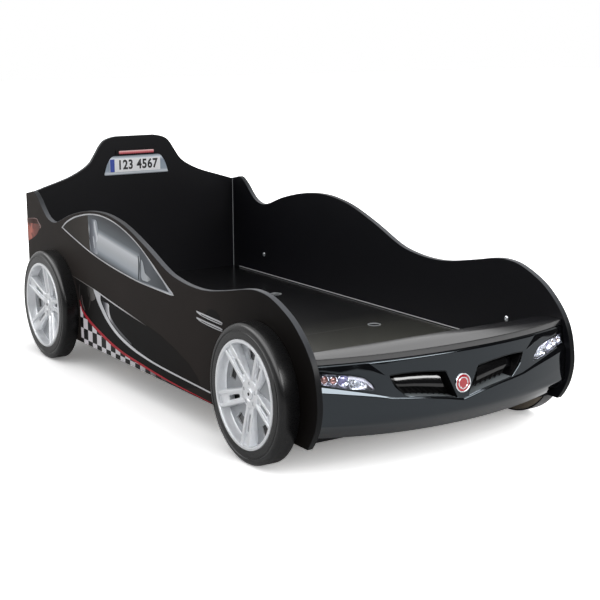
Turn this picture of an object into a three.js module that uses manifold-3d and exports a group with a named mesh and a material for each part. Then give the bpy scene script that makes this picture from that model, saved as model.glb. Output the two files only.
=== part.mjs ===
// A single bed in the shape of a low sports car. Its nose points to -Y and it stands on Z = 0.
// Left and right are those of someone who stands in front of the nose: left is -X.
// All sizes are in millimetres. A place along the car is its distance "s" forwards from the tail.
import * as THREE from "three";
import { mergeVertices } from "three/addons/utils/BufferGeometryUtils.js";
import Module from "manifold-3d";

const wasm = await Module();
wasm.setup();

// ---- The mattress and the boards around it
const MATTRESS_WIDTH = 900;
const MATTRESS_LENGTH = 1950;
const SIDE_CLEARANCE = 5;
const END_CLEARANCE = 2;
const BOARD = 18;
const BOARD_UNDERSIDE = 97;
const HEADBOARD_SET_IN = 2;
const DECK_TOP = 223;
const FIT = 0.3; // between neighbours that are cut to each other
const OVERRUN = 1; // of a cutter past the face that it cuts

// ---- The side panels
const PANEL_REACH = 110; // from the foot board's inner face to the panel's foremost point
const PANEL_TAIL_HEIGHT = 603;

// ---- The headboard
const HEADBOARD_HEIGHT = 808;
const HEADBOARD_SHOULDER = 604;
const HEADBOARD_CREST = 85; // half the width of its flat top

// ---- The front shelf, a board with a bowed front edge
const SHELF_TOP = 352;
const SHELF_END_DEPTH = 68;
const SHELF_BOW = 68;

// ---- The moulded bumper
const BUMPER_WALL = 4;
const BUMPER_STATIONS = 28;
const BUMPER_UNDER_SHELF = 4; // how far its top edge stands behind the shelf's
const BOW_POWER = 2.1;

// ---- The deck
const DECK_BOARDS = 3;
const DECK_END_GAP = 1;
const DECK_SEAM = 1.5;
const DECK_SIDE_GAP = 0.8;
const RING_SPREAD = 268; // of the finger rings, from the middle of the deck
const RING_OUTER = 23;
const RING_INNER = 17;
const RING_PROUD = 1;
const GUIDE_STRIP = 6;
const GUIDE_STRIP_PROUD = 5;
const GUIDE_STRIP_START = 52; // clear of the headboard's face

// ---- What carries the deck
const BEARER_WIDTH = 44;
const BEARER_HEIGHT = 80;
const LEDGER_WIDTH = 22;
const LEDGER_HEIGHT = 60;
const FINGER_NOTCH_WIDTH = 56;
const FINGER_NOTCH_DEPTH = 30;
const SHOE_PLATE = 3;
const SHOE_LENGTH = 50;
const SHOE_HEIGHT = 53;
const LEG_SIDE = 60;
const GLIDE_RADIUS = 24;
const GLIDE_HEIGHT = 12;

// ---- The wheels
const TYRE_RADIUS = 206;
const TYRE_WIDTH = 59;
const TYRE_WALL = 4;
const TYRE_SHOULDER = 15;
const WHEEL_TURN = 32; // flat sides round a wheel
const REAR_WHEEL = 277; // from the tail
const FRONT_WHEEL_SET_BACK = 184; // from the foot board's inner face
const RIM_RADIUS = 161;
const RIM_PROUD = 3;
const RIM_LIP = 8;
const RIM_FLOOR = 5;
const DISH_RADIUS = 145;
const DISH_WALL = 4;
const HUB_RADIUS = 45;
const HUB_SET_BACK = 22; // of the hub's face behind the rim's lip
const SPOKE_PAIRS = 5;
const SPOKE_START = { rear: 42, front: 18.5 }; // degrees from level to the first pair
const SPOKE_WIDTH = 8;
const SPOKE_INNER_SPLAY = 13; // of each blade from the pair's middle line, at the hub
const SPOKE_OUTER_SPLAY = 18; // and at the lip
const SLOT = { inner: 65, outer: 125, halfWidth: 8 }; // between the blades of a pair
const WINDOW = { inner: 93, outer: 116, halfWidth: 20 }; // between two pairs
const NUT_CIRCLE = 31;
const NUT_RADIUS = 5.5;
const NUT_DEPTH = 5;
const CAP_RADIUS = 16;
const CAP_HEIGHT = 4;
const BOLT_RISE = 100; // of the wheel bolt above the wheel's middle
const BOLT_RADIUS = 4;
const BOLT_BITE = 12; // of its thread into the wheel's backing disc
const BOLT_HEAD_RADIUS = 9;
const BOLT_HEAD = 4;

// ---- The lamps, grilles and badge in the bumper
const LAMP_DEPTH = 20;
const GRILLE_DEPTH = 30;
const TRAY_FLOOR = 4;
const TRAY_RIM = 6;
const LENS_THICKNESS = 3;
const BADGE_RADIUS = 28;
const BADGE_DROP = 98; // of its middle below the shelf
const BADGE_PROUD = 3;

// ---- The plate and brake lamp on the headboard
const SURROUND_BOTTOM_WIDTH = 290;
const SURROUND_TOP_WIDTH = 234;
const SURROUND_HEIGHT = 77;
const SURROUND_THICKNESS = 3;
const PLATE_WIDTH = 228;
const PLATE_HEIGHT = 54;
const PLATE_THICKNESS = 1.5;
const BRAKE_LAMP_WIDTH = 182;
const BRAKE_LAMP_HEIGHT = 21;
const BRAKE_LAMP_DEPTH = 6;
const BRAKE_LAMP_GAP = 3; // above the plate's surround
const BRAKE_LAMP_DROP = 66; // of its middle below the headboard's crest
const BRAKE_LENS_WIDTH = 157;
const BRAKE_LENS_HEIGHT = 13;
const BRAKE_LENS_PROUD = 2;

// ---- Worked out from the above
const HALF_INNER = MATTRESS_WIDTH / 2 + SIDE_CLEARANCE;
const HALF_OUTER = HALF_INNER + BOARD;
const HEAD_FACE = HEADBOARD_SET_IN + BOARD;
const FOOT_FACE = HEAD_FACE + MATTRESS_LENGTH + END_CLEARANCE;
const PANEL_LENGTH = FOOT_FACE + PANEL_REACH;
const DECK_UNDERSIDE = DECK_TOP - BOARD;
const BEARER_UNDERSIDE = DECK_UNDERSIDE - BEARER_HEIGHT;
const SHELF_UNDERSIDE = SHELF_TOP - BOARD;
const DECK_PITCH = MATTRESS_LENGTH / DECK_BOARDS;
const SEAMS = [1, 2].map((k) => HEAD_FACE + k * DECK_PITCH);
const WHEEL_PLACES = { rear: REAR_WHEEL, front: FOOT_FACE - FRONT_WHEEL_SET_BACK };
const SIDES = { left: -1, right: 1 };
const { lerp } = THREE.MathUtils;

// ---- Materials
const finish = (color, roughness, metalness = 0, more = {}) =>
  new THREE.MeshStandardMaterial({ color, roughness, metalness, ...more });
const BLACK_BOARD = finish("#17171a", 0.5);
const RAW_BOARD = finish("#a88c68", 0.9);
const PINE = finish("#c9a873", 0.8);
const GLOSS_BLACK = finish("#0b0b0d", 0.15);
const TYRE_BLACK = finish("#1b1b1b", 0.55);
const SILVER = finish("#b9bdc1", 0.35, 0.6);
const STEEL = finish("#8f9296", 0.4, 0.9);
const GREY_PLASTIC = finish("#a9abad", 0.5);
const DARK_PLASTIC = finish("#101012", 0.6);
const CLEAR = finish("#dfe6ee", 0.05, 0, { transparent: true, opacity: 0.35 });
const PLATE_WHITE = finish("#e8e9e6", 0.4);
const BADGE_RED = finish("#a71f2b", 0.25);
const LAMP_RED = finish("#b01c20", 0.2);

// ---- Helpers: geometry to solid and back, and boards that lie in each plane
function solid(geometry) {
  const bare = geometry.index ? geometry.toNonIndexed() : geometry.clone();
  bare.deleteAttribute("normal");
  bare.deleteAttribute("uv");
  const merged = mergeVertices(bare, 1e-4);
  const corners = merged.index.array;
  const faces = [];
  for (let i = 0; i < corners.length; i += 3) {
    const [a, b, c] = corners.slice(i, i + 3);
    if (a !== b && b !== c && c !== a) faces.push(a, b, c);
  }
  const vertProperties = merged.attributes.position.array;
  const triVerts = new Uint32Array(faces);
  return new wasm.Manifold(new wasm.Mesh({ numProp: 3, vertProperties, triVerts }));
}

function geometryOf(body) {
  const { vertProperties, triVerts } = body.getMesh();
  return new THREE.BufferGeometry()
    .setAttribute("position", new THREE.BufferAttribute(vertProperties, 3))
    .setIndex(new THREE.BufferAttribute(triVerts, 1));
}

function frameOf(across, up) {
  return new THREE.Matrix4().makeBasis(across, up, across.clone().cross(up));
}
const RIGHT = new THREE.Vector3(1, 0, 0);
const NOSEWARD = new THREE.Vector3(0, -1, 0);
const UP = new THREE.Vector3(0, 0, 1);
const SIDE_FRAME = frameOf(NOSEWARD, UP);
const CROSS_FRAME = frameOf(RIGHT, UP);
const FLAT_FRAME = frameOf(RIGHT, NOSEWARD);

function extruded(shape, depth, frame) {
  const options = { depth, bevelEnabled: false, curveSegments: 3 };
  return new THREE.ExtrudeGeometry(shape, options).applyMatrix4(frame);
}

// An outline of (s, z) whose thickness runs from x towards -X.
const sideBoard = (shape, x, thickness) =>
  extruded(shape, thickness, SIDE_FRAME).translate(x, 0, 0);
// An outline of (x, z) whose thickness runs from s towards the nose.
const crossBoard = (shape, s, thickness) =>
  extruded(shape, thickness, CROSS_FRAME).translate(0, -s, 0);
// An outline of (x, s) whose thickness runs down from z.
const flatBoard = (shape, z, thickness) =>
  extruded(shape, thickness, FLAT_FRAME).translate(0, 0, z);

const points = (list) => list.map(([u, v]) => new THREE.Vector2(u, v));
const outline = (list) => new THREE.Shape(points(list));

function rectangle(u0, u1, v0, v1) {
  return outline([
    [u0, v0],
    [u1, v0],
    [u1, v1],
    [u0, v1],
  ]);
}

// A block between two corners given as [x, s, z].
function block([x0, s0, z0], [x1, s1, z1]) {
  return flatBoard(rectangle(x0, x1, s0, s1), z1, z1 - z0);
}

function circle(u, v, radius, sides = 20) {
  const corner = (k) => (2 * Math.PI * k) / sides;
  return outline(
    Array.from({ length: sides }, (_, k) => [
      u + radius * Math.cos(corner(k)),
      v + radius * Math.sin(corner(k)),
    ]),
  );
}

// A body of revolution about the local Y axis, from a profile of [radius, height].
const turned = (profile, sides = WHEEL_TURN) =>
  new THREE.LatheGeometry(points(profile), sides);

// The outline moved outwards by a distance, with sharp corners; it runs anticlockwise.
function grown(list, distance) {
  const normals = list.map(([u, v], i) => {
    const [nextU, nextV] = list[(i + 1) % list.length];
    const length = Math.hypot(nextU - u, nextV - v);
    return [(nextV - v) / length, (u - nextU) / length];
  });
  return list.map(([u, v], i) => {
    const [a, b] = normals[(i + list.length - 1) % list.length];
    const [c, d] = normals[i];
    const share = distance / (1 + a * c + b * d);
    return [u + (a + c) * share, v + (b + d) * share];
  });
}

const bed = new THREE.Group();
function add(name, shape, material, parent = bed) {
  const geometry = shape instanceof wasm.Manifold ? geometryOf(shape) : shape;
  const piece = new THREE.Mesh(geometry, material);
  piece.name = name;
  parent.add(piece);
}

// ---- Side panels: the car's outline, from tail to nose
// Points of the outline of [s, z]: boot lid, roof, bonnet, front wing and the round nose. They are
// stretched along the car to the panel's own length.
const BODY_LINE = [
  [45, 611],
  [85, 616],
  [130, 591],
  [171, 556],
  [210, 530],
  [262, 518],
  [320, 527],
  [420, 560],
  [532, 586],
  [621, 599],
  [712, 604],
  [800, 599],
  [912, 579],
  [1060, 531],
  [1204, 475],
  [1290, 456],
  [1390, 448],
  [1489, 453],
  [1621, 476],
  [1710, 494],
  [1777, 500],
  [1850, 490],
  [1939, 453],
  [1998, 410],
  [2043, 360],
  [2070, 304],
  [2082, 228],
  [2073, 170],
  [2053, 128],
];
const NOSE_UNDERSIDE = 2030; // where the nose meets the straight lower edge

function boltPlace(s) {
  return [s, TYRE_RADIUS + BOLT_RISE];
}

function panelShape() {
  const stretch = PANEL_LENGTH / Math.max(...BODY_LINE.map(([s]) => s));
  const curve = [...BODY_LINE, [NOSE_UNDERSIDE, BOARD_UNDERSIDE]];
  const shape = new THREE.Shape();
  shape.moveTo(0, BOARD_UNDERSIDE);
  shape.lineTo(0, PANEL_TAIL_HEIGHT);
  shape.splineThru(points(curve.map(([s, z]) => [s * stretch, z])));
  shape.closePath();
  return shape;
}

for (const [side, sign] of Object.entries(SIDES)) {
  const face = sign > 0 ? HALF_OUTER : -HALF_INNER;
  const holes = Object.values(WHEEL_PLACES).map((s) =>
    solid(
      sideBoard(
        circle(...boltPlace(s), BOLT_RADIUS + FIT, 16),
        face + OVERRUN,
        BOARD + 2 * OVERRUN,
      ),
    ),
  );
  const panel = solid(sideBoard(panelShape(), face, BOARD));
  add(`side_panel_${side}`, wasm.Manifold.difference([panel, ...holes]), BLACK_BOARD);
}

// ---- Headboard: square shoulders that sweep up to a flat crest
// Points of its right-hand sweep of [x, drop below the crest].
const CREST_SWEEP = [
  [400, 187],
  [300, 156],
  [240, 128],
  [205, 103],
  [180, 68],
  [160, 37],
  [140, 16],
  [112, 5],
];

function headboardShape() {
  const crest = [HEADBOARD_CREST, HEADBOARD_HEIGHT];
  const sweep = CREST_SWEEP.map(([x, drop]) => [x, HEADBOARD_HEIGHT - drop]);
  const mirrored = sweep.map(([x, z]) => [-x, z]).reverse();
  const shape = new THREE.Shape();
  shape.moveTo(-HALF_INNER, BOARD_UNDERSIDE);
  shape.lineTo(HALF_INNER, BOARD_UNDERSIDE);
  shape.lineTo(HALF_INNER, HEADBOARD_SHOULDER);
  shape.splineThru(points([...sweep, crest]));
  shape.lineTo(-crest[0], crest[1]);
  shape.splineThru(points([...mirrored, [-HALF_INNER, HEADBOARD_SHOULDER]]));
  shape.closePath();
  return shape;
}
add("headboard", crossBoard(headboardShape(), HEADBOARD_SET_IN, BOARD), BLACK_BOARD);

// ---- The generic plate and the brake lamp on the headboard's inner face
const brakeMiddle = HEADBOARD_HEIGHT - BRAKE_LAMP_DROP;
const surroundTop = brakeMiddle - BRAKE_LAMP_HEIGHT / 2 - BRAKE_LAMP_GAP;
const surroundBottom = surroundTop - SURROUND_HEIGHT;
const surround = [
  [-SURROUND_BOTTOM_WIDTH / 2, surroundBottom],
  [SURROUND_BOTTOM_WIDTH / 2, surroundBottom],
  [SURROUND_TOP_WIDTH / 2, surroundTop],
  [-SURROUND_TOP_WIDTH / 2, surroundTop],
];
add("plate_surround", crossBoard(outline(surround), HEAD_FACE, SURROUND_THICKNESS), SILVER);

// A small upright plate centred on x = 0 and on the height z, standing forwards from s.
function centredPlate(width, height, z, s, thickness) {
  const shape = rectangle(-width / 2, width / 2, z - height / 2, z + height / 2);
  return crossBoard(shape, s, thickness);
}
const plateMiddle = (surroundBottom + surroundTop) / 2;
const plateFace = HEAD_FACE + SURROUND_THICKNESS;
add(
  "number_plate",
  centredPlate(PLATE_WIDTH, PLATE_HEIGHT, plateMiddle, plateFace, PLATE_THICKNESS),
  PLATE_WHITE,
);

const lensWell = centredPlate(
  BRAKE_LENS_WIDTH + 2 * FIT,
  BRAKE_LENS_HEIGHT + 2 * FIT,
  brakeMiddle,
  HEAD_FACE + BRAKE_LAMP_DEPTH / 2,
  BRAKE_LAMP_DEPTH,
);
const brakeHousing = centredPlate(
  BRAKE_LAMP_WIDTH,
  BRAKE_LAMP_HEIGHT,
  brakeMiddle,
  HEAD_FACE,
  BRAKE_LAMP_DEPTH,
);
add("brake_lamp_housing", solid(brakeHousing).subtract(solid(lensWell)), DARK_PLASTIC);
add(
  "brake_lamp_lens",
  centredPlate(
    BRAKE_LENS_WIDTH,
    BRAKE_LENS_HEIGHT,
    brakeMiddle,
    HEAD_FACE + BRAKE_LAMP_DEPTH / 2,
    BRAKE_LAMP_DEPTH / 2 + BRAKE_LENS_PROUD,
  ),
  LAMP_RED,
);

// ---- Foot board and front shelf
const footBoard = rectangle(-HALF_INNER, HALF_INNER, BOARD_UNDERSIDE, SHELF_UNDERSIDE);
add("foot_board", crossBoard(footBoard, FOOT_FACE, BOARD), BLACK_BOARD);

// How far the front is bowed at x: 1 at mid-width and 0 at the side panels.
const bow = (x) => 1 - Math.min(1, Math.abs(x) / HALF_INNER) ** BOW_POWER;
const stations = (half) =>
  Array.from(
    { length: BUMPER_STATIONS + 1 },
    (_, k) => half * ((2 * k) / BUMPER_STATIONS - 1),
  );

const shelfEdge = stations(HALF_INNER).map((x) => [
  x,
  FOOT_FACE + SHELF_END_DEPTH + SHELF_BOW * bow(x),
]);
const shelfShape = outline([[HALF_INNER, FOOT_FACE], [-HALF_INNER, FOOT_FACE], ...shelfEdge]);
add("front_shelf", flatBoard(shelfShape, SHELF_TOP, BOARD), BLACK_BOARD);

// ---- Bumper: one moulding whose section changes from the ends to mid-width
// The line along which its lower half steps forward, under the lamps and grilles, as [x, drop
// below the shelf], and the height of that step at the ends and further in.
const SHOULDER_LINE = [
  [0, 150],
  [20, 147],
  [74, 139],
  [166, 128],
  [198, 122],
  [247, 98],
  [290, 88],
  [345, 84],
  [400, 75],
  [455, 64],
];
const STEP_HEIGHT = 3;
const STEP_END_HEIGHT = 15;
const STEP_END_START = 345; // the x from which the step grows taller

// The other rows of its front, from the top down. Each gives the drop below the shelf and the
// reach ahead of the foot board's inner face, first at the ends and then at mid-width.
const bumperTop = SHELF_END_DEPTH - BUMPER_UNDER_SHELF;
const UPPER_ROWS = [
  { end: [0, bumperTop], middle: [0, bumperTop + SHELF_BOW] },
  { end: [5, bumperTop + 6], middle: [5, bumperTop + SHELF_BOW + 6] },
];
const STEP_REACH = { end: [79, 88], middle: [147, 151] }; // of its upper and lower edge
const LOWER_ROWS = [
  { end: [119, 89], middle: [166, 153] },
  { end: [169, 87], middle: [178, 150] },
  { end: [192, 62], middle: [196, 137] },
  { end: [204, 42], middle: [227, 106] },
];

// The height of a line of [x, height] at x, mirrored about x = 0.
function heightAlong(line, x) {
  const far = Math.abs(x);
  const k = Math.min(
    line.length - 2,
    Math.max(0, line.findIndex(([u]) => u > far) - 1),
  );
  const [[u0, v0], [u1, v1]] = [line[k], line[k + 1]];
  return lerp(v0, v1, (far - u0) / (u1 - u0));
}

// The front of the section at x, as [reach, z] from the top down.
function bumperFront(x) {
  const across = (end, middle) => lerp(end, middle, bow(x));
  const row = ({ end, middle }) => [
    across(end[1], middle[1]),
    SHELF_UNDERSIDE - across(end[0], middle[0]),
  ];
  const shoulder = SHELF_UNDERSIDE - heightAlong(SHOULDER_LINE, x);
  const outward = (Math.abs(x) - STEP_END_START) / (HALF_INNER - STEP_END_START);
  const step = lerp(STEP_HEIGHT, STEP_END_HEIGHT, Math.max(0, outward));
  const [upper, lower] = [0, 1].map((k) => across(STEP_REACH.end[k], STEP_REACH.middle[k]));
  const ledge = [
    [upper, shoulder + step],
    [lower, shoulder],
  ];
  return [...UPPER_ROWS.map(row), ...ledge, ...LOWER_ROWS.map(row)];
}

// The section at x as a ring of [reach, z]. "depth" sets its front back behind the surface,
// and its top, underside and ends by as much but no more than the wall.
function bumperSection(x, depth, back) {
  const rim = Math.max(0, Math.min(depth, BUMPER_WALL));
  const front = bumperFront(x).map(([reach, z]) => [reach - depth, z]);
  front[0][1] -= rim;
  front.at(-1)[1] += rim;
  return [[back, front[0][1]], ...front, [back, front.at(-1)[1]]];
}

// The whole volume inside the bumper's surface moved back by "depth".
function bumperVolume(depth, back = BOARD) {
  const half = HALF_INNER - FIT - Math.max(0, Math.min(depth, BUMPER_WALL));
  const rings = stations(half).map((x) =>
    bumperSection(x, depth, back).map(([reach, z]) => [x, -(FOOT_FACE + reach), z]),
  );
  const count = rings[0].length;
  const position = rings.flat(2);
  const index = [];
  for (let i = 0; i < rings.length - 1; i += 1) {
    for (let j = 0; j < count; j += 1) {
      const a = i * count + j;
      const b = i * count + ((j + 1) % count);
      index.push(a, b, a + count, b, b + count, a + count);
    }
  }
  const last = (rings.length - 1) * count;
  const cap = bumperSection(half, depth, back);
  for (const [a, b, c] of THREE.ShapeUtils.triangulateShape(points(cap), [])) {
    index.push(a, b, c, last + c, last + b, last + a);
  }
  const geometry = new THREE.BufferGeometry();
  geometry.setAttribute("position", new THREE.Float32BufferAttribute(position, 3));
  geometry.setIndex(index);
  return solid(geometry);
}

// A layer of the bumper between two depths.
const bumperLayer = (outer, inner) => bumperVolume(outer).subtract(bumperVolume(inner, 0));

// An outline of (x, z) carried through the whole bumper, on one side of the car.
function throughBumper(list, sign = 1) {
  const mirrored = sign > 0 ? list : list.map(([x, z]) => [-x, z]).reverse();
  return solid(crossBoard(outline(mirrored), FOOT_FACE + BOARD + OVERRUN, 2 * PANEL_REACH));
}

// Outlines on the right-hand side of the nose, anticlockwise. Those of the grilles are of [x, drop
// below the shelf], and those of the lamps of [distance in from the side panel, drop].
const hung = (list) => list.map(([x, drop, ...rest]) => [x, SHELF_UNDERSIDE - drop, ...rest]);
const fromSide = (list) => hung(list.map(([inset, ...rest]) => [HALF_INNER - inset, ...rest]));
const LAMP_OUTLINE = fromSide([
  [166, 80],
  [121, 74],
  [55, 59],
  [15, 46],
  [15, 20],
  [70, 24],
  [132, 37],
  [155, 58],
]);
const GRILLE_OUTLINE = hung([
  [18, 143],
  [74, 134],
  [120, 128],
  [166, 123],
  [199, 115],
  [230, 80],
  [247, 45],
  [205, 43],
  [164, 44],
  [117, 48],
  [59, 55],
]);
// The raised blade in the upper part of each grille.
const BLADE_OUTLINE = hung([
  [40, 91],
  [120, 79],
  [231, 70],
  [247, 45],
  [205, 43],
  [164, 44],
  [117, 48],
  [59, 55],
]);
// Reflector bowls of each lamp, as [distance in from the side panel, drop, radius].
const LAMP_BOWLS = fromSide([
  [110, 54, 16],
  [70, 40, 12],
  [45, 35, 8],
  [25, 34, 7],
]);
const BOWL_WALL = 2;

const shell = bumperVolume(0).subtract(bumperVolume(BUMPER_WALL, 0));
const windows = Object.values(SIDES).flatMap((sign) => [
  throughBumper(LAMP_OUTLINE, sign),
  throughBumper(GRILLE_OUTLINE, sign),
]);
add("bumper_shell", wasm.Manifold.difference([shell, ...windows]), GLOSS_BLACK);

// A tray behind an opening of the bumper, with a rim that laps the wall from inside.
function tray(list, depth, sign) {
  const start = BUMPER_WALL + FIT;
  const box = bumperLayer(start, depth + TRAY_FLOOR).intersect(
    throughBumper(grown(list, TRAY_RIM), sign),
  );
  return box.subtract(bumperLayer(0, depth).intersect(throughBumper(grown(list, -1), sign)));
}

for (const [side, sign] of Object.entries(SIDES)) {
  const bowls = LAMP_BOWLS.map(([x, z, radius]) => {
    const rise = bumperLayer(LAMP_DEPTH / 2, LAMP_DEPTH + 1);
    const start = FOOT_FACE + BOARD;
    const post = solid(crossBoard(circle(sign * x, z, radius, 16), start, 2 * PANEL_REACH));
    const inside = circle(sign * x, z, radius - BOWL_WALL, 16);
    const bore = solid(crossBoard(inside, start - OVERRUN, 2 * (PANEL_REACH + OVERRUN)));
    return rise.intersect(post.subtract(bore));
  });
  const lampTray = tray(LAMP_OUTLINE, LAMP_DEPTH, sign);
  add(`headlamp_tray_${side}`, wasm.Manifold.union([lampTray, ...bowls]), SILVER);

  const lens = bumperLayer(0.5, 0.5 + LENS_THICKNESS);
  const lensOutline = throughBumper(grown(LAMP_OUTLINE, -FIT), sign);
  add(`headlamp_lens_${side}`, lens.intersect(lensOutline), CLEAR);

  const blade = bumperLayer(GRILLE_DEPTH / 3, GRILLE_DEPTH + 1).intersect(
    throughBumper(grown(BLADE_OUTLINE, 0.5), sign),
  );
  add(`grille_${side}`, tray(GRILLE_OUTLINE, GRILLE_DEPTH, sign).add(blade), DARK_PLASTIC);
}

const badgeDisc = solid(
  crossBoard(circle(0, SHELF_UNDERSIDE - BADGE_DROP, BADGE_RADIUS), FOOT_FACE + BOARD, 2 * PANEL_REACH),
);
add("nose_badge", bumperLayer(-BADGE_PROUD, -FIT).intersect(badgeDisc), BADGE_RED);

// ---- Deck: three loose boards, with a finger ring on each side of every seam
const deckHalf = HALF_INNER - GUIDE_STRIP - DECK_SIDE_GAP;
const deckEdges = [
  HEAD_FACE + DECK_END_GAP,
  ...SEAMS.flatMap((s) => [s - DECK_SEAM / 2, s + DECK_SEAM / 2]),
  FOOT_FACE - DECK_END_GAP,
];
const ringWells = SEAMS.flatMap((s) =>
  Object.values(SIDES).map((sign) =>
    solid(
      flatBoard(
        circle(sign * RING_SPREAD, s, RING_OUTER + FIT),
        DECK_TOP + OVERRUN,
        BOARD + 2 * OVERRUN,
      ),
    ),
  ),
);
["rear", "middle", "front"].forEach((place, k) => {
  const [s0, s1] = deckEdges.slice(2 * k, 2 * k + 2);
  const board = solid(block([-deckHalf, s0, DECK_UNDERSIDE], [deckHalf, s1, DECK_TOP]));
  add(`deck_board_${place}`, wasm.Manifold.difference([board, ...ringWells]), BLACK_BOARD);
});

["rear", "front"].forEach((place, k) => {
  for (const [side, sign] of Object.entries(SIDES)) {
    const centre = [sign * RING_SPREAD, SEAMS[k]];
    const ringTop = DECK_TOP + RING_PROUD;
    const hole = circle(...centre, RING_INNER);
    const bore = solid(
      flatBoard(hole, ringTop + OVERRUN, BOARD + RING_PROUD + 2 * OVERRUN),
    );
    const ring = solid(flatBoard(circle(...centre, RING_OUTER), ringTop, BOARD + RING_PROUD));
    add(`finger_ring_${place}_${side}`, ring.subtract(bore), GREY_PLASTIC);
  }
});

for (const [side, sign] of Object.entries(SIDES)) {
  const [inner, outer] = [HALF_INNER - GUIDE_STRIP, HALF_INNER].map((x) => sign * x);
  const start = HEAD_FACE + GUIDE_STRIP_START;
  const strip = block(
    [Math.min(inner, outer), start, DECK_UNDERSIDE],
    [Math.max(inner, outer), FOOT_FACE, DECK_TOP + GUIDE_STRIP_PROUD],
  );
  add(`guide_strip_${side}`, strip, GREY_PLASTIC);
}

// ---- Bearers under the seams and ledgers at the ends
["rear", "front"].forEach((place, k) => {
  const [s0, s1] = [SEAMS[k] - BEARER_WIDTH / 2, SEAMS[k] + BEARER_WIDTH / 2];
  const beam = solid(block([-HALF_INNER, s0, BEARER_UNDERSIDE], [HALF_INNER, s1, DECK_UNDERSIDE]));
  const notches = Object.values(SIDES).map((sign) => {
    const [x0, x1] = [-1, 1].map((e) => sign * RING_SPREAD + (e * FINGER_NOTCH_WIDTH) / 2);
    const floor = DECK_UNDERSIDE - FINGER_NOTCH_DEPTH;
    return solid(block([x0, s0 - OVERRUN, floor], [x1, s1 + OVERRUN, DECK_UNDERSIDE + OVERRUN]));
  });
  add(`cross_bearer_${place}`, wasm.Manifold.difference([beam, ...notches]), PINE);

  for (const [side, sign] of Object.entries(SIDES)) {
    const base = BEARER_UNDERSIDE - SHOE_PLATE;
    const reach = sign * (HALF_INNER - SHOE_LENGTH);
    const [x0, x1] = [Math.min(reach, sign * HALF_INNER), Math.max(reach, sign * HALF_INNER)];
    const wide = FIT + SHOE_PLATE;
    const cup = solid(block([x0, s0 - wide, base], [x1, s1 + wide, base + SHOE_HEIGHT]));
    const room = solid(
      block(
        [x0 - OVERRUN, s0 - FIT, BEARER_UNDERSIDE],
        [x1 + OVERRUN, s1 + FIT, base + SHOE_HEIGHT + OVERRUN],
      ),
    );
    add(`bearer_shoe_${place}_${side}`, cup.subtract(room), STEEL);
  }

  const leg = block(
    [-LEG_SIDE / 2, SEAMS[k] - LEG_SIDE / 2, GLIDE_HEIGHT],
    [LEG_SIDE / 2, SEAMS[k] + LEG_SIDE / 2, BEARER_UNDERSIDE],
  );
  add(`centre_leg_${place}`, leg, PINE);
  const glide = flatBoard(circle(0, SEAMS[k], GLIDE_RADIUS), GLIDE_HEIGHT, GLIDE_HEIGHT);
  add(`leg_glide_${place}`, glide, DARK_PLASTIC);
});

const ledgerPlaces = { rear: HEAD_FACE, front: FOOT_FACE - LEDGER_WIDTH };
for (const [place, s] of Object.entries(ledgerPlaces)) {
  const ledger = block(
    [-HALF_INNER, s, DECK_UNDERSIDE - LEDGER_HEIGHT],
    [HALF_INNER, s + LEDGER_WIDTH, DECK_UNDERSIDE],
  );
  add(`deck_ledger_${place}`, ledger, PINE);
}

// ---- Wheels: a backing disc, a moulded tyre, a rim and a cap, built about the local Y axis
// The tyre is one moulding with a closed dish that carries the rim.
function tyreProfile() {
  const back = BOARD + FIT;
  const seat = RIM_RADIUS;
  const face = TYRE_WIDTH - TYRE_SHOULDER;
  const bevel = TYRE_SHOULDER * (1 - Math.SQRT1_2);
  return [
    [0, back],
    [seat + TYRE_WALL, back],
    [seat + TYRE_WALL, TYRE_WIDTH - TYRE_WALL - 1],
    [TYRE_RADIUS - TYRE_SHOULDER - 1, TYRE_WIDTH - TYRE_WALL],
    [TYRE_RADIUS - TYRE_WALL, face],
    [TYRE_RADIUS - TYRE_WALL, 0],
    [TYRE_RADIUS, 0],
    [TYRE_RADIUS, face],
    [TYRE_RADIUS - bevel, TYRE_WIDTH - bevel],
    [TYRE_RADIUS - TYRE_SHOULDER, TYRE_WIDTH],
    [seat, TYRE_WIDTH],
    [seat, back + TYRE_WALL],
    [0, back + TYRE_WALL],
  ];
}

// The rim's dish, from its floor out to the lip that laps the tyre.
const dishFloor = BOARD + 2 * FIT + TYRE_WALL;
const rimFace = TYRE_WIDTH + RIM_PROUD;
const rimProfile = [
  [0, dishFloor],
  [DISH_RADIUS + DISH_WALL, dishFloor],
  [RIM_RADIUS - FIT, rimFace - RIM_LIP],
  [RIM_RADIUS - FIT, rimFace - 2],
  [RIM_RADIUS - FIT - 2, rimFace],
  [RIM_RADIUS - RIM_LIP, rimFace],
  [DISH_RADIUS, dishFloor + RIM_FLOOR],
  [0, dishFloor + RIM_FLOOR],
];

const hubTop = rimFace - HUB_SET_BACK;
const hubProfile = [
  [0, dishFloor + 1],
  [HUB_RADIUS, dishFloor + 1],
  [HUB_RADIUS, hubTop - 3],
  [HUB_RADIUS - 3, hubTop],
  [0, hubTop],
];

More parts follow.
